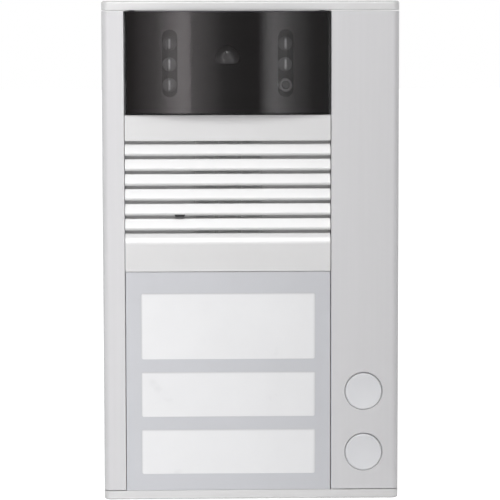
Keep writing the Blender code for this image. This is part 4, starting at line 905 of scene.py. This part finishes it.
def name_frame():
    """Flat plate with a rounded window over each label."""
    plate = bar("name_plate", name_low - Vector((0.00025, 0, 0.0005)), name_high + ACROSS * 0.0002)
    lap = Vector((0.0015, 0, 0.0015))
    cutters = []
    for label in (1, 2, 3):
        low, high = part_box(f"label_pane_{label}")
        low, high = low + lap, high - lap
        low.y, high.y = name_low.y - WALL, name_high.y + WALL
        cutters.append(pillow(f"label_window_{label}", low, high, 0.0010))
    carve(plate, *cutters)
    round_edges(plate, 0.0001, 2, 50)
    fit(plate, "housing", "name_frame_grey", "name_frame")


def label_pane(node):
    """A frosted pane whose raised field fills its window in the plate."""
    low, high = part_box(node)
    lap = Vector((0.0015, 0, 0.0015))
    field_low, field_high = low + lap, high - lap
    field_low.y = name_low.y + 0.00002
    field_high.y = high.y
    pane = pillow(f"{node}_frosted", field_low, field_high, 0.0010)
    rim = bar(f"{node}_rim", low, high)
    tool = pane.modifiers.new("rim", "BOOLEAN")
    tool.operation = "UNION"
    tool.solver = "EXACT"
    tool.object = rim
    bake_modifiers(pane)
    bpy.data.objects.remove(rim, do_unlink=True)
    # The opal finish carries painted shade along the head and the two ends of the field.
    opal = opal_pane_with_painted_edge_shade(f"{node}_opal", field_low, field_high)
    fit(smooth(pane), "housing", "clear_pane", node, finish=opal)


# Call buttons


def call_button(number):
    """Dished cap on a collar and stem, turned about its own axis."""
    node = f"call_button_{number}"
    low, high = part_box(node)
    centre = (low + high) / 2
    centre += Vector((-0.00003, FRONT - centre.y, -0.00008))
    radius = 0.00757
    proud = 0.0005
    dish = 0.0008
    edge = 0.0005

    def at(out, rise):
        return centre + Vector((out, -rise, 0))

    collar, collar_front, collar_back = 0.0087, -0.0023, -0.0035
    stem, stem_end = 0.0026, -(high.y - FRONT)
    rim = radius - edge
    hollow = (rim ** 2 + dish ** 2) / (2 * dish)
    bm = bmesh.new()
    pen = bm.verts.new(at(0.0, proud - dish))
    pen = sweep(bm, pen, at(0.0, proud - dish + hollow), UP, -asin(rim / hollow), 12)
    pen = sweep(bm, pen, at(rim, proud - edge), UP, pi / 2, 5)
    run(
        bm,
        pen,
        at(radius, collar_front),
        at(collar, collar_front),
        at(collar, collar_back),
        at(stem, collar_back),
        at(stem, stem_end),
        at(0.0, stem_end),
    )
    revolve(bm, centre, BACKWARD, 120)
    fit(smooth(shape(f"{node}_cap", bm)), node, "button_cap", node)


def button_spring(number):
    """Round wire wound about the stem, drawn at one length; the real spring shortens as its button is
    pressed.
    """
    node = f"button_spring_{number}"
    low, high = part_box(node)
    centre = (low + high) / 2
    wire = 0.0003
    coil = 0.0041
    turns = 3
    bm = bmesh.new()
    start = Matrix.Translation((centre.x + coil, low.y + wire, centre.z))
    bmesh.ops.create_circle(bm, cap_ends=True, segments=12, radius=wire, matrix=start)
    steps = 36 * turns
    climb = (high.y - low.y - 2 * wire) / steps
    bmesh.ops.spin(
        bm,
        geom=bm.faces[:],
        cent=centre,
        axis=-BACKWARD,
        dvec=BACKWARD * climb,
        angle=2 * pi * turns,
        steps=steps,
    )
    spring = smooth(shape(f"{node}_coil", bm), 50)
    fit(spring, "housing", "steel", node)
    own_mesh(spring)


# Back


def softened_node(name, node, slot, width):
    """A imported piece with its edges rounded."""
    piece = welded_copy(name, node)
    round_edges(piece, width, 2, 40)
    fit(piece, "housing", slot, node)


# Studio


def plainly_seen(nodes, links):
    """One for rays from the camera, a mirror or a clear piece, and nought for the light on the object."""
    path = nodes.new("ShaderNodeLightPath")
    share = path.outputs["Is Camera Ray"]
    for ray in ("Is Glossy Ray", "Is Transmission Ray"):
        either = nodes.new("ShaderNodeMath")
        either.operation = "MAXIMUM"
        links.new(share, either.inputs[0])
        links.new(path.outputs[ray], either.inputs[1])
        share = either.outputs["Value"]
    return share


def studio():
    """White floor, soft lamps, the card that the window mirrors, and the camera."""
    bm = bmesh.new()
    ground = Matrix.Translation((0, 0, cad_low.z - 0.0002))
    bmesh.ops.create_grid(bm, x_segments=1, y_segments=1, size=6.0, matrix=ground)
    floor = shape("studio_floor", bm)
    paper = Finish("floor_paper").set(Roughness=0.9)
    paper.colours(paper.noise(3.0), (0.3, (0.80, 0.80, 0.80)), (0.7, (0.82, 0.82, 0.82)))
    glow = paper.nodes.new("ShaderNodeMath")
    glow.operation = "MULTIPLY"
    glow.inputs[1].default_value = 0.9
    paper.links.new(plainly_seen(paper.nodes, paper.links), glow.inputs[0])
    paper.links.new(glow.outputs["Value"], paper.shader.inputs["Emission Strength"])
    paper.set(Emission_Color=(1, 1, 1, 1))
    floor.data.materials.append(paper.material)

    world = bpy.data.worlds.new("studio_air")
    world.use_nodes = True
    scene.world = world
    nodes, links = world.node_tree.nodes, world.node_tree.links
    sky = nodes["Background"]
    level = nodes.new("ShaderNodeMapRange")
    level.inputs["To Min"].default_value = 0.15
    level.inputs["To Max"].default_value = 1.0
    links.new(plainly_seen(nodes, links), level.inputs["Value"])
    sky.inputs["Color"].default_value = (1, 1, 1, 1)
    links.new(level.outputs["Result"], sky.inputs["Strength"])

    for name, place, aim, size, spread, power, mirrored in (
        ("key_lamp", (-0.15, -1.00, 0.75), (-0.55, FRONT, 0.0), (1.0, 0.5), 80.0, 3.45, True),
        ("left_lamp", (-0.90, 0.35, 0.35), (0.0, 0.0, 0.0), (0.4, 0.6), 180.0, 1.3, True),
        ("right_lamp", (0.90, 0.55, 0.35), (0.0, 0.0, 0.0), (0.4, 0.6), 180.0, 1.3, True),
        ("fill_lamp", (-0.15, -1.20, 0.30), (-0.65, FRONT, 0.0), (0.6, 0.6), 80.0, 2.3, False),
    ):
        light = bpy.data.lights.new(name, "AREA")
        light.shape = "RECTANGLE"
        light.size, light.size_y = size
        light.spread = radians(spread)
        light.energy = power
        obj = bpy.data.objects.new(name, light)
        obj.location = place
        obj.rotation_mode = "QUATERNION"
        obj.rotation_quaternion = (Vector(aim) - Vector(place)).to_track_quat("-Z", "Y")
        obj.visible_camera = False
        obj.visible_glossy = mirrored
        scene.collection.objects.link(obj)

    bm = bmesh.new()
    upright = Matrix.Rotation(-pi / 2, 4, "X") @ Matrix.Diagonal((1, 0.13, 1, 1))
    stand = Matrix.Translation((0, -2.0, 0.045)) @ upright
    bmesh.ops.create_grid(bm, x_segments=1, y_segments=1, size=1.0, matrix=stand)
    card = shape("mirror_card", bm)
    glowing = Finish("card_glow").set(Emission_Strength=4.6, Roughness=1.0)
    glowing.set(Base_Color=(0, 0, 0, 1))
    split = glowing.nodes.new("ShaderNodeSeparateXYZ")
    glowing.links.new(glowing.place((0.5, 1, 1)), split.inputs["Vector"])
    shift = glowing.nodes.new("ShaderNodeMath")
    shift.inputs[1].default_value = 0.5
    glowing.links.new(split.outputs["X"], shift.inputs[0])
    ramp = glowing.nodes.new("ShaderNodeValToRGB")
    warm, plain = (1.0, 0.94, 0.955), (1.0, 0.975, 0.99)
    stops = (
        (0.00, 0.08, warm), (0.085, 0.10, warm), (0.20, 0.36, warm), (0.322, 1.15, warm),
        (0.354, 0.98, warm), (0.362, 0.55, warm), (0.50, 0.145, plain), (0.577, 0.10, plain),
        (0.644, 0.10, plain), (0.685, 0.55, plain), (0.716, 0.75, plain), (0.80, 0.36, plain),
        (0.895, 0.12, plain), (1.0, 0.10, plain),
    )
    while len(ramp.color_ramp.elements) < len(stops):
        ramp.color_ramp.elements.new(1.0)
    for element, (position, value, tint) in zip(ramp.color_ramp.elements, stops):
        element.position = position
        element.color = (*(value * part for part in tint), 1.0)
    glowing.links.new(shift.outputs["Value"], ramp.inputs["Fac"])
    glowing.links.new(ramp.outputs["Color"], glowing.shader.inputs["Emission Color"])
    card.data.materials.append(glowing.material)
    card.visible_camera = False
    card.visible_diffuse = False
    card.visible_shadow = False

    lens = bpy.data.cameras.new("camera")
    lens.lens = 183.616
    lens.sensor_width = 36.0
    eye = bpy.data.objects.new("camera", lens)
    scene.collection.objects.link(eye)
    right = Vector((0.99959116, -0.02853467, -0.00181350))
    up = Vector((0.00439800, 0.09077422, 0.99586179))
    forward = Vector((0.02825197, 0.99546261, -0.09086260))
    turn = Matrix((right, up, -forward)).transposed().to_4x4()
    eye.matrix_world = Matrix.Translation((-0.030108, FRONT - 1.045147, 0.096244)) @ turn
    scene.camera = eye
    scene.view_settings.view_transform = "Standard"


front_profile()
end_cap("top_end_cap", 1)
end_cap("bottom_end_cap", -1)
for number in (1, 2):
    cap_screw(f"end_cap_screw_{number}", 1)
for number in (3, 4):
    cap_screw(f"end_cap_screw_{number}", -1)
cap_screw("locking_screw", -1)
camera_window()
for number in range(1, 6):
    lamp(f"lamp_{number}")
light_sensor()
camera_eye()
speaker_grille()
name_frame()
for number in (1, 2, 3):
    label_pane(f"label_pane_{number}")
for number in (1, 2):
    call_button(number)
    button_spring(number)
softened_node("rear_base_moulding", "rear_base", "dark_grey_moulding", 0.0002)
softened_node("cable_grommet_moulding", "cable_grommet", "rubber", 0.0002)
studio()
